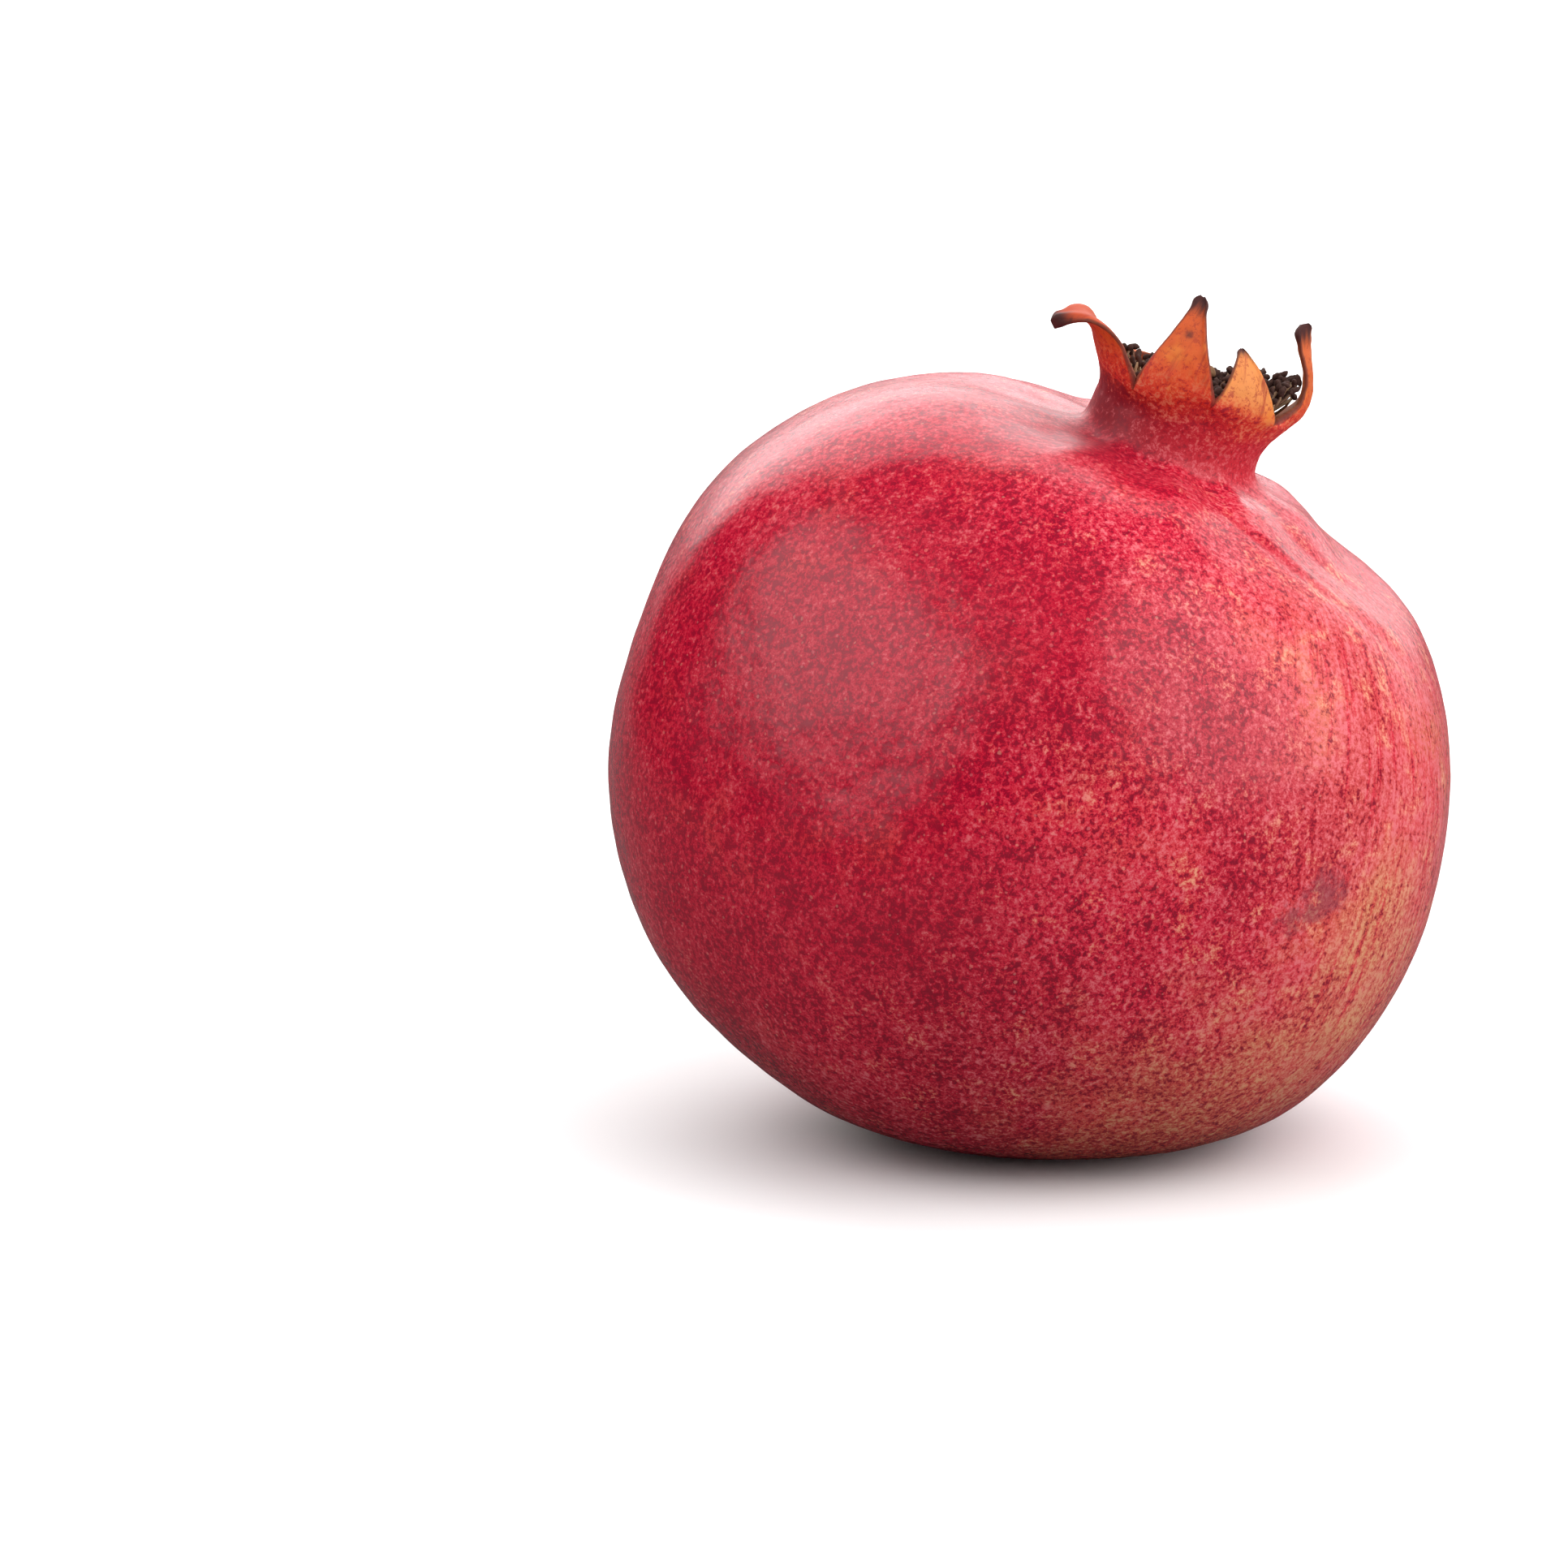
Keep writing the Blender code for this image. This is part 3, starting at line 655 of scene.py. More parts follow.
def sepal_grid(index):
    """Outer and inner points of one blade as rows from the rim to the tip, each with its way across."""
    sepal = SEPALS[index]
    following = SEPALS[(index + 1) % len(SEPALS)]
    half_span = radians((following["notch"] - sepal["notch"]) % 360.0) / 2.0
    middle = TURNS[index * SEPAL_COLUMNS] + half_span
    root_height = (sepal["notch_height"] + following["notch_height"]) * 0.5 * MM
    root = Vector((RIM_RADIUS, root_height))
    rim_slope = Vector((RIM_FLARE * (RIM_RADIUS - NECK_RADIUS), root_height - NECK_HEIGHT)).normalized()
    root_handle = root + rim_slope * sepal["lift"] * MM
    half_width = RIM_RADIUS * sin(half_span)
    rows = []
    for share in steps(BLADE_ROWS):
        centre, outward, side = blade_frame(sepal, root, root_handle, middle, share)
        narrowing = (1.0 - share ** sepal["shoulder"]) ** sepal["taper"]
        width = blend(sepal["tip"] * MM, half_width, narrowing)
        knob = bell(share - KNOB_SHARE, KNOB_SPREAD) * sepal["knob"]
        rounding = rounded(share, TIP_START, TIP_LENGTH)
        scale = (width + KNOB_WIDTH * knob) / half_width * rounding
        outer_row = []
        inner_row = []
        for step in range(SEPAL_COLUMNS + 1):
            across = 2.0 * step / SEPAL_COLUMNS - 1.0
            bow = across * half_span
            point = centre + side * (RIM_RADIUS * sin(bow) * scale)
            point -= outward * (RIM_RADIUS * (1.0 - cos(bow)) * scale)
            column = (index * SEPAL_COLUMNS + step) % len(TURNS)
            point.z += (rim_height(column) - root_height) * (1.0 - share) ** 2
            point += outward * (sepal["curl"] * MM * ease(share * 1.3 - 0.3) * across**4)
            rolled = bell(share - ROLL_SHARE, ROLL_SPREAD) * ease(across * 3.0 - 1.8)
            point += outward * (sepal["roll"] * MM * rolled)
            body = blend(BLADE_THICKNESS, TIP_THICKNESS, share)
            thin = blend(MARGIN_THICKNESS, body, 1.0 - across**4)
            thickness = blend(RIM_THICKNESS, thin, ease(share * 3.0))
            thickness = (thickness + KNOB_THICKNESS * knob) * (0.25 + 0.75 * rounding)
            wrinkle = neck_wrinkle(point) * (1.0 + share)
            outer_row.append(point + wrinkle + outward * (KNOB_STAND * knob))
            inner_row.append(point - outward * thickness + wrinkle)
        rows.append((share, outer_row, inner_row, side))
    return rows


def add_sepals(skin, outer_rim, inner_rim):
    """Blades on the rim: an outer and an inner skin, joined along rounded margins and over the tip."""
    notches = []
    for index in range(len(SEPALS)):
        column = index * SEPAL_COLUMNS
        middle = (outer_rim[column].co + inner_rim[column].co) * 0.5
        notches.append(skin.put(middle, crown=CROWN_AT_RIM, margin=1.0, **sepal_marks(column)))
    for index in range(len(SEPALS)):
        columns = [index * SEPAL_COLUMNS + step for step in range(SEPAL_COLUMNS + 1)]
        outer_rows = [[outer_rim[column % len(TURNS)] for column in columns]]
        inner_rows = [[inner_rim[column % len(TURNS)] for column in columns]]
        left_edge = [notches[index]]
        right_edge = [notches[(index + 1) % len(SEPALS)]]
        for share, outer, inner, side in sepal_grid(index)[1:]:
            add_blade_row(skin, index, share, outer, inner, outer_rows, inner_rows)
            left_edge.append(edge_vertex(skin, index, share, outer[0], inner[0], -side))
            right_edge.append(edge_vertex(skin, index, share, outer[-1], inner[-1], side))
        close_blade(skin, outer_rows, inner_rows, left_edge, right_edge)


def add_blade_row(skin, index, share, outer, inner, outer_rows, inner_rows):
    """Vertices of one row of a blade, outside and inside, with their marks."""
    outer_verts = []
    inner_verts = []
    width = (outer[-1] - outer[0]).length
    for step in range(SEPAL_COLUMNS + 1):
        across = 2.0 * step / SEPAL_COLUMNS - 1.0
        from_edge = (1.0 - abs(across)) * 0.5 * width
        marks = blended_tone(index, step, share)
        marks["crown"] = blend(CROWN_AT_RIM, 1.0, share)
        marks["margin"] = MARGIN_SHADE * bell(from_edge, MARGIN_LINE)
        if SEPALS[index]["name"] == "front":
            spot = bell(share - SPOT_SHARE, SPOT_SPREAD) * bell(across - SPOT_ACROSS, SPOT_WIDTH)
            marks["spot"] = SPOT_DEPTH * spot
        outer_verts.append(skin.put(outer[step], **marks))
        inner_verts.append(skin.put(inner[step], inner=1.0, **marks))
    outer_rows.append(outer_verts)
    inner_rows.append(inner_verts)


def edge_vertex(skin, index, share, outer, inner, beyond):
    """Vertex on the rounded margin of a blade, a little beyond its outer and inner skins."""
    bulge = beyond * (EDGE_BULGE * (outer - inner).length * ease(share * 8.0))
    crown = blend(CROWN_AT_RIM, 1.0, share)
    return skin.put((outer + inner) * 0.5 + bulge, crown=crown, margin=EDGE_SHADE, **tone_of(index))


def close_blade(skin, outer_rows, inner_rows, left_edge, right_edge):
    """Faces of one blade: its two skins, its two margins and the cap over its tip."""
    for row in range(BLADE_ROWS):
        low_out, high_out = outer_rows[row], outer_rows[row + 1]
        low_in, high_in = inner_rows[row], inner_rows[row + 1]
        for step in range(SEPAL_COLUMNS):
            skin.face(low_out[step], low_out[step + 1], high_out[step + 1], high_out[step])
            skin.face(low_in[step + 1], low_in[step], high_in[step], high_in[step + 1])
        skin.face(left_edge[row], low_out[0], high_out[0], left_edge[row + 1])
        skin.face(low_in[0], left_edge[row], left_edge[row + 1], high_in[0])
        skin.face(low_out[-1], right_edge[row], right_edge[row + 1], high_out[-1])
        skin.face(right_edge[row], low_in[-1], high_in[-1], right_edge[row + 1])
    skin.face(*outer_rows[-1], right_edge[-1], *reversed(inner_rows[-1]), left_edge[-1])


def tone_of(index):
    """Colour marks of a whole sepal."""
    return {name: SEPALS[index][name] for name in ("warmth", "withered")}


def blended_tone(index, step, share):
    """Near the rim a blade's colour marks ease over from those of the neck."""
    tone = tone_of(index)
    base = sepal_marks((index * SEPAL_COLUMNS + step) % len(TURNS))
    return {name: blend(base[name], tone[name], ease(share * 4.0)) for name in tone}


def lay_flow(skin):
    """Marks each vertex with its turn, as a direction, and its way down from the crown, for the streaks."""
    flow = skin.mesh.verts.layers.float_vector.new("flow")
    for vert in skin.mesh.verts:
        angle = atan2(hypot(vert.co.x, vert.co.y), vert.co.z)
        turn = atan2(vert.co.x, -vert.co.y)
        vert[flow] = around(1.0, turn, angle - vert.co.length / EQUATOR_RADIUS)


def settle(skin):
    """Presses the rind flat where it rests."""
    depth_gain = (1.0 - SETTLE_SLOPE) / 2.0
    contact = -depth_gain * SETTLE_HEIGHT / (1.0 - depth_gain)
    bend = depth_gain / (SETTLE_HEIGHT - contact)
    for vert in skin.mesh.verts:
        spot = PLACE @ vert.co
        if spot.z < CENTRE_HEIGHT:
            spot.z -= SAG_DEPTH * bell((spot.xy - SAG_POINT).length, SAG_SPREAD)
        if contact < spot.z < SETTLE_HEIGHT:
            spot.z += bend * (SETTLE_HEIGHT - spot.z) ** 2
        spot.z = max(spot.z, 0.0)
        vert.co = spot


def make_rind():
    """Rind, neck, sepals and open cup as one closed skin."""
    skin = Skin(RIND_MARKS)
    pole = skin.put(rind_point(pi, 0.0), **body_marks(pi, 0.0))
    angles = [blend(pi, NECK_JOIN_ANGLE, share**BODY_ROW_CROWDING) for share in steps(BODY_ROWS)]
    rings = [body_ring(skin, angle) for angle in angles[1:]]
    rings += [fillet_ring(skin, share) for share in steps(FILLET_ROWS)[1:]]
    rings += [neck_ring(skin, share) for share in steps(NECK_ROWS)[1:]]
    for lower, upper in zip(rings, rings[1:]):
        skin.bridge(lower, upper)
    skin.fan(pole, rings[0][::-1])
    inside = inner_rings(skin)
    for upper, lower in zip(inside, inside[1:]):
        skin.bridge(upper, lower)
    skin.fan(skin.put(around_crown(0.0, 0.0, CUP_FLOOR), crown=CROWN_IN_CUP, inner=1.0), inside[-1])
    add_sepals(skin, rings[-1], inside[0])
    lay_flow(skin)
    settle(skin)
    return skin.finish("rind")


# ---- Stamens, style and stub ----


def tube(skin, points, radii, sides, **marks):
    """Closed tube along points, with a radius at each."""
    rings = []
    side = (points[1] - points[0]).orthogonal()
    for place, point in enumerate(points):
        along = (points[min(place + 1, len(points) - 1)] - points[max(place - 1, 0)]).normalized()
        side = (side - along * side.dot(along)).normalized()
        other = along.cross(side)
        ring = []
        for step in range(sides):
            turn = 2.0 * pi * step / sides
            spot = point + (side * cos(turn) + other * sin(turn)) * radii[place]
            ring.append(skin.put(spot, **marks))
        rings.append(ring)
    for lower, upper in zip(rings, rings[1:]):
        skin.bridge(lower, upper)
    skin.face(*reversed(rings[0]))
    skin.face(*rings[-1])


def lay_down(skin):
    for vert in skin.mesh.verts:
        vert.co = PLACE @ vert.co


def make_stamens():
    """Dry filaments that rise from the floor of the cup, each with its anther."""
    draw = random.Random(STAMEN_SEED)
    skin = Skin(["anther", "shade"])
    for index in range(STAMEN_COUNT):
        turn = 2.0 * pi * (index * STAMEN_TURN_SHARE % 1.0)
        turn += STAMEN_CROWDING * cos(turn)
        root = around_crown(blend(*STAMEN_ROOTS, sqrt(draw.random())), turn, CUP_FLOOR + GAP)
        spread = sqrt(draw.random())
        top_turn = turn + draw.uniform(-0.5, 0.5)
        backward = max(cos(top_turn - STAMEN_BACK_TURN), 0.0)
        top_radius = blend(STAMEN_INNER_REACH, STAMEN_REACH - STAMEN_BACK_HOLD * backward, spread)
        rightward = max(sin(top_turn), 0.0) * top_radius / STAMEN_REACH
        top_height = STAMEN_TOP + STAMEN_TOP_SPREAD * draw.random() + STAMEN_RIGHT_RISE * rightward
        tip = around_crown(top_radius, top_turn, top_height)
        rise = tip.z - root.z
        root_handle = root + Vector((0.0, 0.0, rise * draw.uniform(0.3, 0.6)))
        loose = Vector((draw.uniform(-1, 1), draw.uniform(-1, 1), draw.uniform(-0.8, 0.4)))
        tip_handle = tip - Vector((0.0, 0.0, rise * 0.3)) + loose * STAMEN_LOOSENESS
        points = [bezier(root, root_handle, tip_handle, tip, share) for share in steps(FILAMENT_STEPS)]
        keep_inside(points)
        thick = FILAMENT_THICKNESS * draw.uniform(0.75, 1.25)
        radii = [blend(thick * 1.2, thick * 0.7, share) for share in steps(FILAMENT_STEPS)]
        shade = draw.random()
        tube(skin, points, radii, FILAMENT_SIDES, shade=shade)
        add_anther(skin, points[-1], (points[-1] - points[-2]).normalized(), draw, shade)
    lay_down(skin)
    return skin.finish("stamens_dry")


def keep_inside(points):
    """Holds a filament off the wall of the cup."""
    for point in points:
        offset = Vector((point.x - CROWN_SHIFT.x, point.y, 0.0))
        flare = ease((point.z - CUP_FLOOR) / STAMEN_FLARE_HEIGHT)
        limit = blend(CUP_RADIUS - GAP, CUP_RADIUS + STAMEN_FLARE, flare) - STAMEN_CLEARANCE
        if offset.length > limit:
            offset = offset.normalized() * limit
            point.x = offset.x + CROWN_SHIFT.x
            point.y = offset.y


def add_anther(skin, end, along, draw, shade):
    """Shrivelled two-lobed anther, lying across the end of its filament."""
    lean = Vector((draw.uniform(-1, 1), draw.uniform(-1, 1), draw.uniform(-0.3, 0.8)))
    axis = (along * 0.6 + lean).normalized()
    length = draw.uniform(*ANTHER_LENGTHS)
    width = draw.uniform(*ANTHER_WIDTHS)
    middle = end + along * ANTHER_OFFSET
    bend = axis.orthogonal().normalized() * draw.uniform(-ANTHER_BEND, ANTHER_BEND)
    points = []
    radii = []
    for share in steps(ANTHER_STEPS):
        swing = sin(pi * share)
        points.append(middle + axis * (length * (share - 0.5)) + bend * swing)
        lobes = 1.0 - ANTHER_WAIST * bell(share - 0.5, 0.12)
        radii.append(width * max(swing, 0.05) ** 0.55 * lobes)
    tube(skin, points, radii, ANTHER_SIDES, anther=1.0, shade=shade)


def make_style():
    """Bent dry style with a lobed stigma."""
    skin = Skin(["anther", "shade"])
    points = []
    radii = []
    for share in steps(STYLE_STEPS):
        bend = Vector((STYLE_BEND * share**2, STYLE_SWAY * sin(3.0 * share), 0.0))
        points.append(around_crown(0.0, 0.0, blend(STYLE_FOOT, STYLE_TOP, share)) + bend)
        girth = 1.0 - STYLE_TAPER * share + STYLE_FOOT_SWELL * bell(share, STYLE_FOOT_SPREAD)
        girth += STIGMA_SWELL * bell(share - STIGMA_SHARE, STIGMA_SPREAD)
        radii.append(STYLE_RADIUS * girth * rounded(share, *STIGMA_END))
    tube(skin, points, radii, STYLE_SIDES, shade=0.4)
    for vert in skin.mesh.verts:
        offset = Vector((vert.co.x, vert.co.y, 0.0)) - CROWN_SHIFT
        turn = atan2(offset.y, offset.x)
        flute = sin(STYLE_FLUTES * turn + STYLE_FLUTE_TWIST * vert.co.z)
        vert.co += offset.normalized() * (STYLE_FLUTE_DEPTH * flute)
    lay_down(skin)
    return skin.finish("style_dry")


def stub_outline():
    """Radius, distance below the centre and share of cut wood, from the foot of the bark to the middle."""
    edge = STUB_END_RADIUS - STUB_BEVEL
    outline = []
    for share in steps(STUB_BARK_ROWS):
        depth = STUB_FOOT + STUB_LENGTH * STUB_BARK_SHARE * share
        outline.append((blend(STUB_RADIUS, edge, share), depth, 0.0))
    for share in steps(STUB_BEVEL_ROWS)[1:]:
        corner = radians(90) * share
        radius = edge - STUB_BEVEL_DEPTH * (1.0 - cos(corner))
        outline.append((radius, STUB_FOOT + STUB_LENGTH * blend(STUB_BARK_SHARE, 1.0, sin(corner)), share))
    edge, end, _ = outline[-1]
    return outline + [(edge * (1.0 - share), end, 1.0) for share in steps(STUB_CUT_ROWS)[1:-1]]


def make_stub():
    """Stub of the stalk: ridged bark, a bevelled edge and a cracked cut end."""
    skin = Skin(["cut", "ring"])
    rings = []
    for radius, depth, cut in stub_outline():
        ring = []
        for column in range(STUB_COLUMNS):
            turn = 2.0 * pi * column / STUB_COLUMNS
            ridge = 1.0 + STUB_RIDGE_SHARE * cos(STUB_RIDGES * turn)
            ridge += STUB_FLUTE_SHARE * sin(STUB_FLUTES * turn + STUB_FLUTE_TWIST * depth)
            crack = sum(bell(turned(turn, at + swing * radius), width) for at, swing, width in STUB_CRACKS)
            relief = STUB_CRACK_DEPTH * crack * min(radius / MM, 1.0)
            relief += STUB_RING_DEPTH * cos(radius / MM * 9.0)
            spot = around(radius * ridge, turn, relief * cut - depth)
            ring.append(skin.put(spot, cut=cut, ring=radius / STUB_RADIUS))
        rings.append(ring)
    for lower, upper in zip(rings, rings[1:]):
        skin.bridge(upper, lower)
    skin.fan(skin.put(Vector((0.0, 0.0, -depth)), cut=1.0), rings[-1][::-1])
    skin.face(*rings[0])
    lay_down(skin)
    return skin.finish("stub_bark")


# ---- Materials ----


def feed(tree, socket, value):
    """Gives an input a value, or a link where the value is another node's output."""
    if isinstance(value, bpy.types.NodeSocket):
        tree.links.new(value, socket)
    elif isinstance(value, tuple) and len(value) == 3 and socket.type == "RGBA":
        socket.default_value = (*value, 1.0)
    else:
        socket.default_value = value


def add_node(tree, kind, inputs=(), **settings):
    """Adds a node and returns its outputs; inputs are given in order, or by name or place in a dict."""
    node = tree.nodes.new("ShaderNode" + kind)
    for name, value in settings.items():
        setattr(node, name, value)
    for key, value in inputs.items() if isinstance(inputs, dict) else enumerate(inputs):
        feed(tree, node.inputs[key], value)
    return node.outputs


def remap(tree, value, low, high, start, end):
    """Smooth remap of value from low..high to start..end."""
    return add_node(tree, "MapRange", (value, low, high, start, end), interpolation_type="SMOOTHSTEP")[0]


class Paint:
    """Small helper that builds a material's nodes."""

    def __init__(self, name, roughness=0.5, specular=0.5):
        self.material = bpy.data.materials.new(name)
        self.material.use_nodes = True
        self.tree = self.material.node_tree
        self.finish("Roughness", roughness)
        self.finish("Specular IOR Level", specular)
        self.coords = self.node("TexCoord")["Object"]

    def finish(self, name, value):
        feed(self.tree, self.tree.nodes["Principled BSDF"].inputs[name], value)

    def node(self, kind, inputs=(), **settings):
        return add_node(self.tree, kind, inputs, **settings)

    def maths(self, operation, *values, clamp=False):
        return self.node("Math", values, operation=operation, use_clamp=clamp)[0]

    def times(self, first, second, clamp=False):
        return self.maths("MULTIPLY", first, second, clamp=clamp)

    def scaled(self, value, gain, offset):
        return self.maths("MULTIPLY_ADD", value, gain, offset)

    def sway(self, value, pattern, amount):
        """Value moved up and down by a pattern that swings about a half."""
        return self.scaled(self.maths("SUBTRACT", pattern, 0.5), amount, value)

    def mix(self, factor, first, second):
        return self.node("Mix", {0: factor, 6: first, 7: second}, data_type="RGBA")[2]

    def span(self, value, low, high, start=0.0, end=1.0):
        return remap(self.tree, value, low, high, start, end)

    def mark(self, name, output="Fac"):
        return self.node("Attribute", attribute_name=name)[output]

    def stretch(self, vector, scale):
        return self.node("Mapping", {"Vector": vector, "Scale": scale})[0]

    def noise(self, size, vector=None, detail=2.0, rough=0.5, output="Fac"):
        vector = vector or self.coords
        inputs = {"Vector": vector, "Scale": 1.0 / size, "Detail": detail, "Roughness": rough}
        return self.node("TexNoise", inputs)[output]

    def jitter(self, size, amount):
        """Coordinates pushed about by noise."""
        push = self.noise(size, detail=1.0, output="Color")
        inputs = (push, (amount,) * 3, self.coords)
        return self.node("VectorMath", inputs, operation="MULTIPLY_ADD")[0]

    def cells(self, size, vector):
        """Distance to the middle of the nearest cell, and two random shares that each cell has."""
        cell = self.node("TexVoronoi", {"Vector": vector, "Scale": 1.0 / size})
        shares = self.node("SeparateColor", (cell["Color"],))
        return cell["Distance"], shares[0], shares[1]

    def bump(self, height, distance, strength):
        inputs = {"Strength": strength, "Distance": distance, "Height": height}
        self.finish("Normal", self.node("Bump", inputs)[0])


DEEP_RED = (0.52, 0.002, 0.026)
BRIGHT_RED = (0.68, 0.006, 0.040)
ORANGE_RED = (0.64, 0.09, 0.04)
GRAIN_PINK = (0.77, 0.16, 0.19)
GRAIN_CREAM = (0.84, 0.36, 0.22)
GRAIN_OLIVE = (0.72, 0.36, 0.18)
PORE_RED = (0.20, 0.002, 0.018)
OLIVE = (0.50, 0.13, 0.07)
BRUISE = (0.22, 0.05, 0.07)
CORK = (0.33, 0.19, 0.10)
NECK_RED = (0.60, 0.008, 0.026)
NECK_DEEP = (0.27, 0.002, 0.012)
FOOT_RED = (0.74, 0.040, 0.014)
SEPAL_ORANGE = (0.70, 0.095, 0.006)
SEPAL_PEACH = (0.74, 0.24, 0.05)
SEPAL_GOLD = (0.80, 0.22, 0.02)
SEPAL_RUST = (0.36, 0.022, 0.008)
WITHERED = (0.34, 0.07, 0.045)
MARGIN_BROWN = (0.13, 0.022, 0.012)
TIP_BROWN = (0.07, 0.014, 0.012)
INNER_TAN = (0.50, 0.21, 0.10)
INNER_ORANGE = (0.52, 0.115, 0.025)
INNER_RED = (0.52, 0.058, 0.008)
FLUSH = (0.78, 0.20, 0.14)
FILAMENT_PALE = (0.40, 0.26, 0.15)
FILAMENT_DARK = (0.17, 0.08, 0.05)
ANTHER_DARK = (0.030, 0.012, 0.010)
ANTHER_BROWN = (0.09, 0.038, 0.028)
STYLE_DARK = (0.12, 0.05, 0.025)
STYLE_TAN = (0.34, 0.19, 0.09)
BARK_DARK = (0.11, 0.055, 0.03)
BARK_TAN = (0.30, 0.19, 0.10)
WOOD_DARK = (0.24, 0.14, 0.07)
WOOD_PALE = (0.46, 0.32, 0.18)
WOOD_STAIN = (0.16, 0.09, 0.05)

# Sizes of the rind's patterns.  Streaks and veins are in radians about the axis, drawn out along it.
BROAD_SIZE = 26 * MM
WARM_SIZE = 13 * MM
OLIVE_SIZE = 8 * MM
PATCH_SIZE = 6 * MM
CREAM_SIZE = 4.5 * MM
GLOSS_SIZE = 3 * MM
PEEL_SIZE = 1.8 * MM
SMUDGE_SIZE = 1.6 * MM
SPECK_SIZE = 0.95 * MM
GRAIN_SIZE = 0.66 * MM
GRAIN_DEPTH = 0.06 * MM
WOBBLE_SIZE = 1.2 * MM
WOBBLE_REACH = 0.5 * MM
STREAK_SIZE = 0.022
STREAK_STRETCH = (1.0, 1.0, 0.09)
VEIN_SIZE = 0.09
VEIN_STRETCH = (1.0, 1.0, 0.3)


class RindPaint(Paint):
    """Red skin under a dense network of pale grains; orange, drying sepals with dark margins."""

    def __init__(self):
        super().__init__("rind_skin")
        self.pale, self.deep = self.mark("pale"), self.mark("deep")
        self.crown, self.warmth = self.mark("crown"), self.mark("warmth")
        self.wobble = self.jitter(WOBBLE_SIZE, WOBBLE_REACH)
        self.patch = self.noise(PATCH_SIZE, detail=4.0, rough=0.65)
        flow = self.mark("flow", "Vector")
        self.streaks = self.noise(STREAK_SIZE, self.stretch(flow, STREAK_STRETCH), 4.0, 0.65)
        self.veins = self.noise(VEIN_SIZE, self.stretch(flow, VEIN_STRETCH), 4.0, 0.65)
        olive = self.scaled(self.noise(OLIVE_SIZE, detail=5.0, rough=0.7), 1.2, self.mark("olive"))
        self.olive = self.span(olive, 0.72, 1.45)
        level = self.sway(self.noise(GRAIN_SIZE, self.wobble, 5.0, 0.78), self.patch, 0.22)
        self.fine = self.scaled(self.deep, -0.04, self.scaled(self.pale, 0.045, level))
        self.level = self.sway(self.fine, self.streaks, self.scaled(self.pale, 0.22, 0.12))

    def by_depth(self, plain, deep):
        """Amount that goes over from plain to deep skin."""
        return self.span(self.deep, 0.0, 1.0, plain, deep)

    def ground(self):
        """Red under the grain, with its broad patches of paler, warmer, darker and olive skin, partly
        painted highlight and shade.
        """
        skin = self.mix(self.span(self.noise(BROAD_SIZE, detail=3.0), 0.36, 0.66), DEEP_RED, BRIGHT_RED)
        skin = self.mix(self.times(self.deep, 0.7), skin, DEEP_RED)
        warm = self.span(self.noise(WARM_SIZE, detail=4.0, rough=0.65), 0.50, 0.72)
        warm = self.times(warm, self.scaled(self.pale, 0.8, 0.2), clamp=True)
        skin = self.mix(warm, skin, ORANGE_RED)
        # Pink flush on pale skin, partly a painted highlight where the pale mark stands for one.
        skin = self.mix(self.times(self.pale, 0.28), skin, FLUSH)
        # The matt mark is partly painted shade: besides roughening the skin it darkens it towards
        # NECK_DEEP.
        skin = self.mix(self.times(self.mark("matt"), 0.55, clamp=True), skin, NECK_DEEP)
        return self.mix(self.times(self.olive, 0.5), skin, OLIVE)

    def grained(self, skin):
        """Pale grains over a mottle, dark pores between them and, on pale skin, red lines."""
        cream = self.span(self.noise(CREAM_SIZE, detail=3.0, rough=0.6), 0.50, 0.70)
        cream = self.times(cream, self.scaled(self.deep, -0.8, 1.0))
        tone = self.mix(self.olive, self.mix(cream, GRAIN_PINK, GRAIN_CREAM), GRAIN_OLIVE)
        mottle = self.times(self.span(self.level, 0.47, 0.60, 0.0, 0.45), self.scaled(self.deep, -0.6, 1.0))
        skin = self.mix(mottle, skin, tone)
        line = self.times(self.span(self.streaks, 0.48, 0.37, 0.0, 0.55), self.pale)
        skin = self.mix(line, skin, BRIGHT_RED)
        pore = self.times(self.span(self.level, 0.49, 0.40, 0.0, 0.9), self.by_depth(1.0, 0.8))
        skin = self.mix(pore, skin, PORE_RED)
        return self.mix(self.times(self.span(self.level, 0.57, 0.62), self.by_depth(0.75, 0.4)), skin, tone)

    def marked(self, skin):
        """Bruises, scattered larger specks, painted shade in the grooves and the corky rim of the stalk's
        dimple.
        """
        smudge = self.times(self.noise(SMUDGE_SIZE, self.wobble, 4.0, 0.7), self.mark("bruise"))
        skin = self.mix(self.span(smudge, 0.22, 0.42, 0.0, 0.6), skin, BRUISE)
        distance, chance, tint = self.cells(SPECK_SIZE, self.wobble)
        speck = self.span(self.maths("SUBTRACT", self.scaled(chance, 0.24, -0.01), distance), -0.04, 0.06)
        tone = self.mix(self.times(tint, 0.6), GRAIN_PINK, GRAIN_CREAM)
        skin = self.mix(self.times(speck, self.by_depth(0.5, 0.3)), skin, tone)
        # Painted shade: darker red along the grooves and in the notches of the neck.
        skin = self.mix(self.times(self.mark("groove_shade"), 0.4, clamp=True), skin, DEEP_RED)
        stem = self.times(self.mark("stem"), self.span(self.patch, 0.3, 0.6, 0.6, 1.0), clamp=True)
        return self.mix(stem, skin, CORK)

    def speckled(self, base, light, amount, dark):
        """Base with an amount of light specks, and with dark ones between them."""
        base = self.mix(self.span(self.fine, 0.50, 0.60, 0.0, amount), base, light)
        return self.mix(self.span(self.fine, 0.46, 0.38, 0.0, 0.6), base, dark)

    def veined(self, base):
        return self.mix(self.span(self.veins, 0.48, 0.34, 0.0, 0.7), base, SEPAL_RUST)

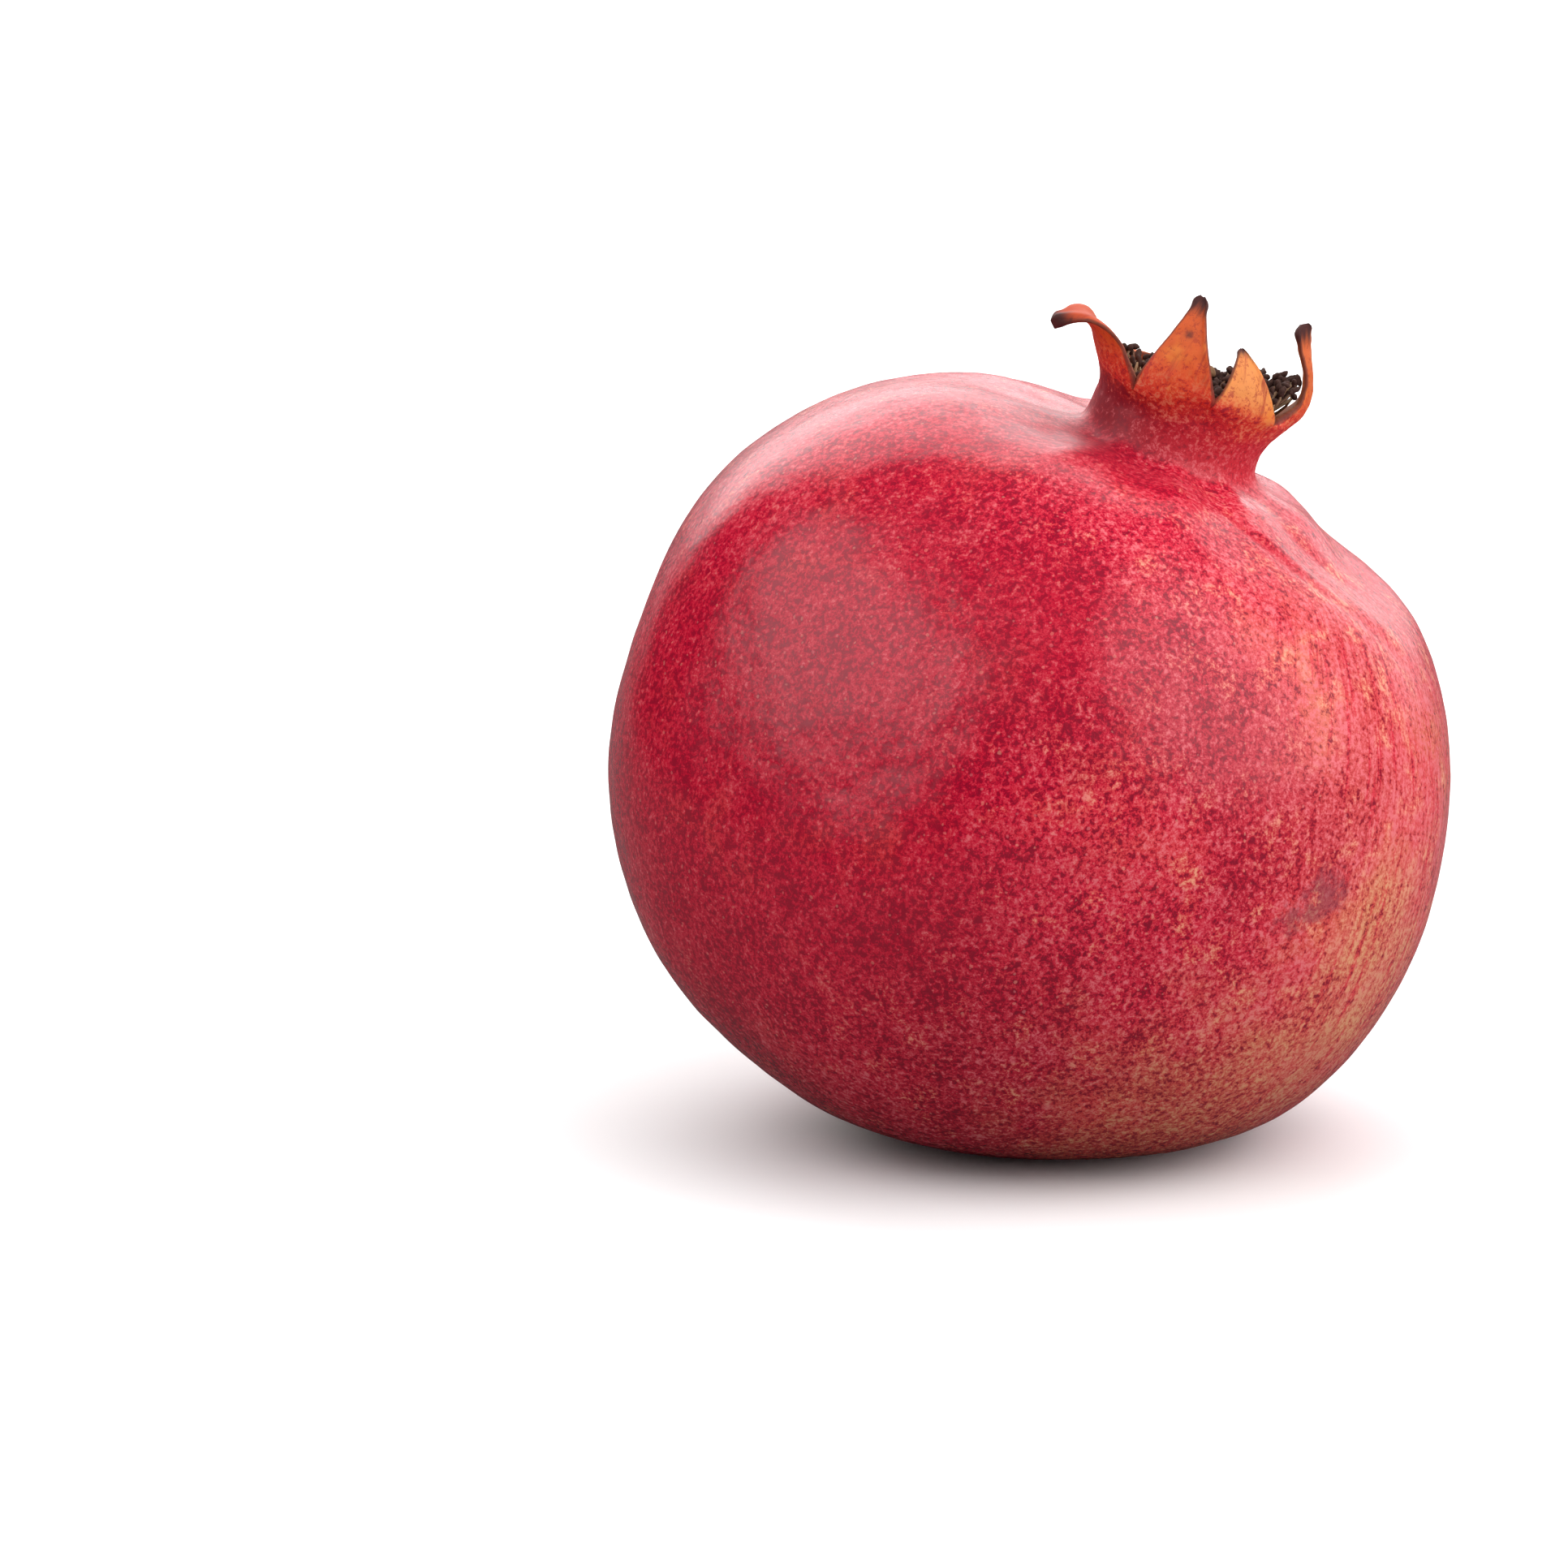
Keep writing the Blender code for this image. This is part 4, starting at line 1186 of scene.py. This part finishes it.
    def blades(self):
        """Red neck, then the red foot of the sepals, then their orange or peach, earlier on warm ones."""
        place = self.sway(self.sway(self.crown, self.patch, 0.30), self.fine, 0.5)
        # On the neck the deep mark is painted shade on its left side, mixed over to NECK_DEEP.
        neck = self.speckled(self.mix(self.deep, NECK_RED, NECK_DEEP), GRAIN_PINK, 0.5, PORE_RED)
        foot = self.speckled(FOOT_RED, GRAIN_CREAM, 0.55, NECK_DEEP)
        blade = self.mix(self.span(self.warmth, 0.5, 1.0), SEPAL_ORANGE, SEPAL_PEACH)
        blade = self.veined(self.mix(self.span(self.patch, 0.48, 0.66, 0.0, 0.7), blade, SEPAL_GOLD))
        blade = self.mix(self.span(self.fine, 0.48, 0.38, 0.0, 0.6), blade, SEPAL_RUST)
        turning = self.scaled(self.warmth, -0.16, 0.44)
        blade = self.mix(self.span(place, turning, self.maths("ADD", turning, 0.34)), foot, blade)
        blade = self.mix(self.span(place, 0.20, 0.44), neck, blade)
        withered = self.times(self.mark("withered"), self.span(place, 0.45, 0.8), clamp=True)
        return self.mix(withered, blade, WITHERED)

    def inside(self):
        """Tan wall of the cup that turns orange or red up the inner faces of the sepals."""
        wall = self.mix(self.span(self.veins, 0.35, 0.65), INNER_TAN, INNER_ORANGE)
        high = self.mix(self.span(self.warmth, 0.5, 0.65), INNER_RED, INNER_ORANGE)
        return self.mix(self.span(self.crown, 0.45, 0.75), wall, self.veined(high))

    def dried(self, skin):
        """Dark spot, dark margins and dry tips of the sepals."""
        skin = self.mix(self.mark("spot"), skin, TIP_BROWN)
        edge = self.sway(self.mark("margin"), self.veins, 0.6)
        skin = self.mix(self.span(edge, 0.35, 0.8, 0.0, 0.9), skin, MARGIN_BROWN)
        tip = self.sway(self.crown, self.veins, 0.2)
        return self.mix(self.span(tip, 0.88, 0.98), skin, TIP_BROWN)


def rind_material():
    paint = RindPaint()
    skin = paint.marked(paint.grained(paint.ground()))
    skin = paint.mix(paint.span(paint.crown, 0.02, 0.17), skin, paint.blades())
    skin = paint.mix(paint.mark("inner"), skin, paint.inside())
    paint.finish("Base Color", paint.dried(skin))
    gloss = paint.span(paint.noise(GLOSS_SIZE, detail=3.0), 0.3, 0.7, 0.18, 0.26)
    gloss = paint.scaled(paint.mark("matt"), 0.25, gloss)
    paint.finish("Roughness", paint.maths("ADD", gloss, paint.span(paint.crown, 0.0, 0.2, 0.0, 0.38)))
    grainy = paint.times(paint.level, paint.by_depth(1.0, 0.5))
    paint.bump(paint.scaled(paint.noise(PEEL_SIZE), 2.0, grainy), GRAIN_DEPTH, 0.5)
    return paint.material


def stamen_material():
    paint = Paint("dry_stamen", roughness=0.8, specular=0.3)
    fine = paint.noise(0.5 * MM, detail=3.0)
    filament = paint.mix(paint.mark("shade"), FILAMENT_PALE, FILAMENT_DARK)
    anther = paint.mix(fine, ANTHER_DARK, ANTHER_BROWN)
    paint.finish("Base Color", paint.mix(paint.mark("anther"), filament, anther))
    paint.bump(fine, 0.1 * MM, 0.6)
    return paint.material


def style_material():
    paint = Paint("dry_style", roughness=0.75, specular=0.3)
    fine = paint.noise(0.7 * MM, detail=4.0)
    paint.finish("Base Color", paint.mix(fine, STYLE_DARK, STYLE_TAN))
    paint.bump(fine, 0.1 * MM, 0.6)
    return paint.material


def stub_material():
    """Brown bark and, on the cut end, growth rings with darker stains."""
    paint = Paint("stalk_bark", roughness=0.85, specular=0.25)
    fine = paint.noise(0.8 * MM, detail=5.0, rough=0.65)
    bark = paint.mix(paint.span(fine, 0.3, 0.7), BARK_DARK, BARK_TAN)
    rings = paint.maths("SINE", paint.times(paint.mark("ring"), 38.0))
    wood = paint.mix(paint.scaled(rings, 0.3, 0.5), WOOD_DARK, WOOD_PALE)
    wood = paint.mix(paint.span(fine, 0.5, 0.7), wood, WOOD_STAIN)
    paint.finish("Base Color", paint.mix(paint.mark("cut"), bark, wood))
    paint.bump(fine, 0.15 * MM, 0.7)
    return paint.material


# ---- Floor, light and camera ----


WHITE = (1.0, 1.0, 1.0)
FLOOR_REACH = 4.0
FLOOR_SEEN = 0.95
FLOOR_THROWN = 0.38
FLOOR_MIRRORED = 0.10
# Beyond the reach of the lamps the floor glows a little to the eye, so that it stays white to its end.
FAR_FLOOR = (0.3, 1.2)
FAR_FLOOR_LIFT = 0.4

# The world as the eye sees it, and the light it gives: from one strength to the other between two depths.
WORLD_SEEN = 1.05
WORLD_GREY = (0.8, 0.8, 0.8)
WORLD_DEPTHS = (0.72, 0.95)
WORLD_STRENGTHS = (0.04, 0.5)

# Soft boxes: name, direction from the fruit, distance, width and height (metres), power and shape.
BOXES = [
    ("key_box", (-0.769, -0.325, 0.55), 0.60, (0.57, 0.58), 1.35, "ELLIPSE"),
    ("right_box", (0.70, -0.40, 0.55), 0.70, (0.84, 0.84), 2.1, "ELLIPSE"),
    ("side_box", (0.56, 0.76, 0.38), 0.80, (0.60, 0.60), 0.9, "RECTANGLE"),
    ("back_box", (-0.12, 0.75, 0.62), 0.80, (0.88, 0.85), 4.3, "RECTANGLE"),
]
# Domes that light fruit and floor evenly, without a reflection: name, direction, width (degrees), strength.
DOMES = [
    ("overhead", (0.0, 0.1, 1.0), 120, 1.0),
    ("front_fill", (0.26, -0.50, 0.92), 100, 1.7),
    ("low_fill", (1.0, -0.10, 0.06), 90, 2.1),
]

CAMERA_RISE = radians(11)
CAMERA_DISTANCE = 0.75
LENS_MM = 151.3
SENSOR_MM = 36.0
# Where the middle of the fruit's body sits in the view, from the middle of the frame, as shares of it.
VIEW_RIGHT = 0.157
VIEW_UP = 0.011


def make_floor():
    data = bpy.data.meshes.new("floor")
    signs = ((-1, -1), (1, -1), (1, 1), (-1, 1))
    data.from_pydata([(x * FLOOR_REACH, y * FLOOR_REACH, 0.0) for x, y in signs], [], [(0, 1, 2, 3)])
    data.materials.append(floor_material())
    floor = add_object("floor", data)
    floor.location.z = FRUIT_LOW.z


def cleared_tree(owner):
    owner.use_nodes = True
    owner.node_tree.nodes.clear()
    return owner.node_tree


def floor_material():
    """Matt white to the eye; it throws less light than that on to the fruit and is dim in its gloss."""
    material = bpy.data.materials.new("floor_white")
    tree = cleared_tree(material)
    ray = add_node(tree, "LightPath")
    coords = add_node(tree, "TexCoord")["Object"]
    away = add_node(tree, "VectorMath", (coords,), operation="LENGTH")["Value"]
    lift = remap(tree, away, *FAR_FLOOR, 0.0, FAR_FLOOR_LIFT)
    glow = add_node(tree, "Emission", (WHITE, lift))[0]
    matt = []
    for shade in (FLOOR_SEEN, FLOOR_THROWN, FLOOR_MIRRORED):
        matt.append(add_node(tree, "BsdfDiffuse", ((shade,) * 3,))[0])
    seen = add_node(tree, "AddShader", (matt[0], glow))[0]
    thrown = add_node(tree, "MixShader", (ray["Is Glossy Ray"], matt[1], matt[2]))[0]
    choose = add_node(tree, "MixShader", (ray["Is Camera Ray"], thrown, seen))[0]
    add_node(tree, "OutputMaterial", (choose,))
    return material


def make_world():
    """White to the eye; for light it is bright behind the fruit and dim in front of it."""
    world = bpy.data.worlds.new("studio")
    bpy.context.scene.world = world
    tree = cleared_tree(world)
    ray = add_node(tree, "LightPath")
    coords = add_node(tree, "TexCoord")["Generated"]
    depth = add_node(tree, "SeparateXYZ", (coords,))["Y"]
    strength = remap(tree, depth, *WORLD_DEPTHS, *WORLD_STRENGTHS)
    lit = add_node(tree, "Background", (WORLD_GREY, strength))[0]
    seen = add_node(tree, "Background", (WHITE, WORLD_SEEN))[0]
    choose = add_node(tree, "MixShader", (ray["Is Camera Ray"], lit, seen))[0]
    add_node(tree, "OutputWorld", (choose,))


def aim(item, direction):
    """Turns a light or camera to look back along the direction it stands in; returns that direction."""
    back = Vector(direction).normalized()
    item.rotation_euler = back.to_track_quat("Z", "Y").to_euler()
    return back


def make_lights():
    for name, direction, distance, size, power, shape in BOXES:
        data = bpy.data.lights.new(name, "AREA")
        data.shape = shape
        data.size, data.size_y = size
        data.energy = power
        box = add_object(name, data)
        box.location = (FRUIT_LOW + FRUIT_HIGH) * 0.5 + aim(box, direction) * distance
    for name, direction, width, strength in DOMES:
        data = bpy.data.lights.new(name, "SUN")
        data.angle = radians(width)
        data.energy = strength
        dome = add_object(name, data)
        dome.visible_glossy = False
        aim(dome, direction)


def make_camera():
    data = bpy.data.cameras.new("camera")
    data.lens = LENS_MM
    data.sensor_width = SENSOR_MM
    camera = add_object("camera", data)
    back = aim(camera, (0.0, -cos(CAMERA_RISE), sin(CAMERA_RISE)))
    up = Vector((0.0, sin(CAMERA_RISE), cos(CAMERA_RISE)))
    width = CAMERA_DISTANCE * SENSOR_MM / LENS_MM
    aside = Vector((VIEW_RIGHT * width, 0.0, 0.0)) + up * (VIEW_UP * width)
    camera.location = PLACE.translation + back * CAMERA_DISTANCE - aside
    bpy.context.scene.camera = camera


# ---- Assembly ----


def show(piece, material, node):
    piece.data.materials.append(material)
    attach(piece, "root")
    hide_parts(node)


def main():
    show(make_rind(), rind_material(), "fruit")
    show(make_stamens(), stamen_material(), "stamens")
    show(make_style(), style_material(), "style")
    show(make_stub(), stub_material(), "stem_stub")
    make_floor()
    make_world()
    make_lights()
    make_camera()
    bpy.context.scene.view_settings.view_transform = "Standard"


main()
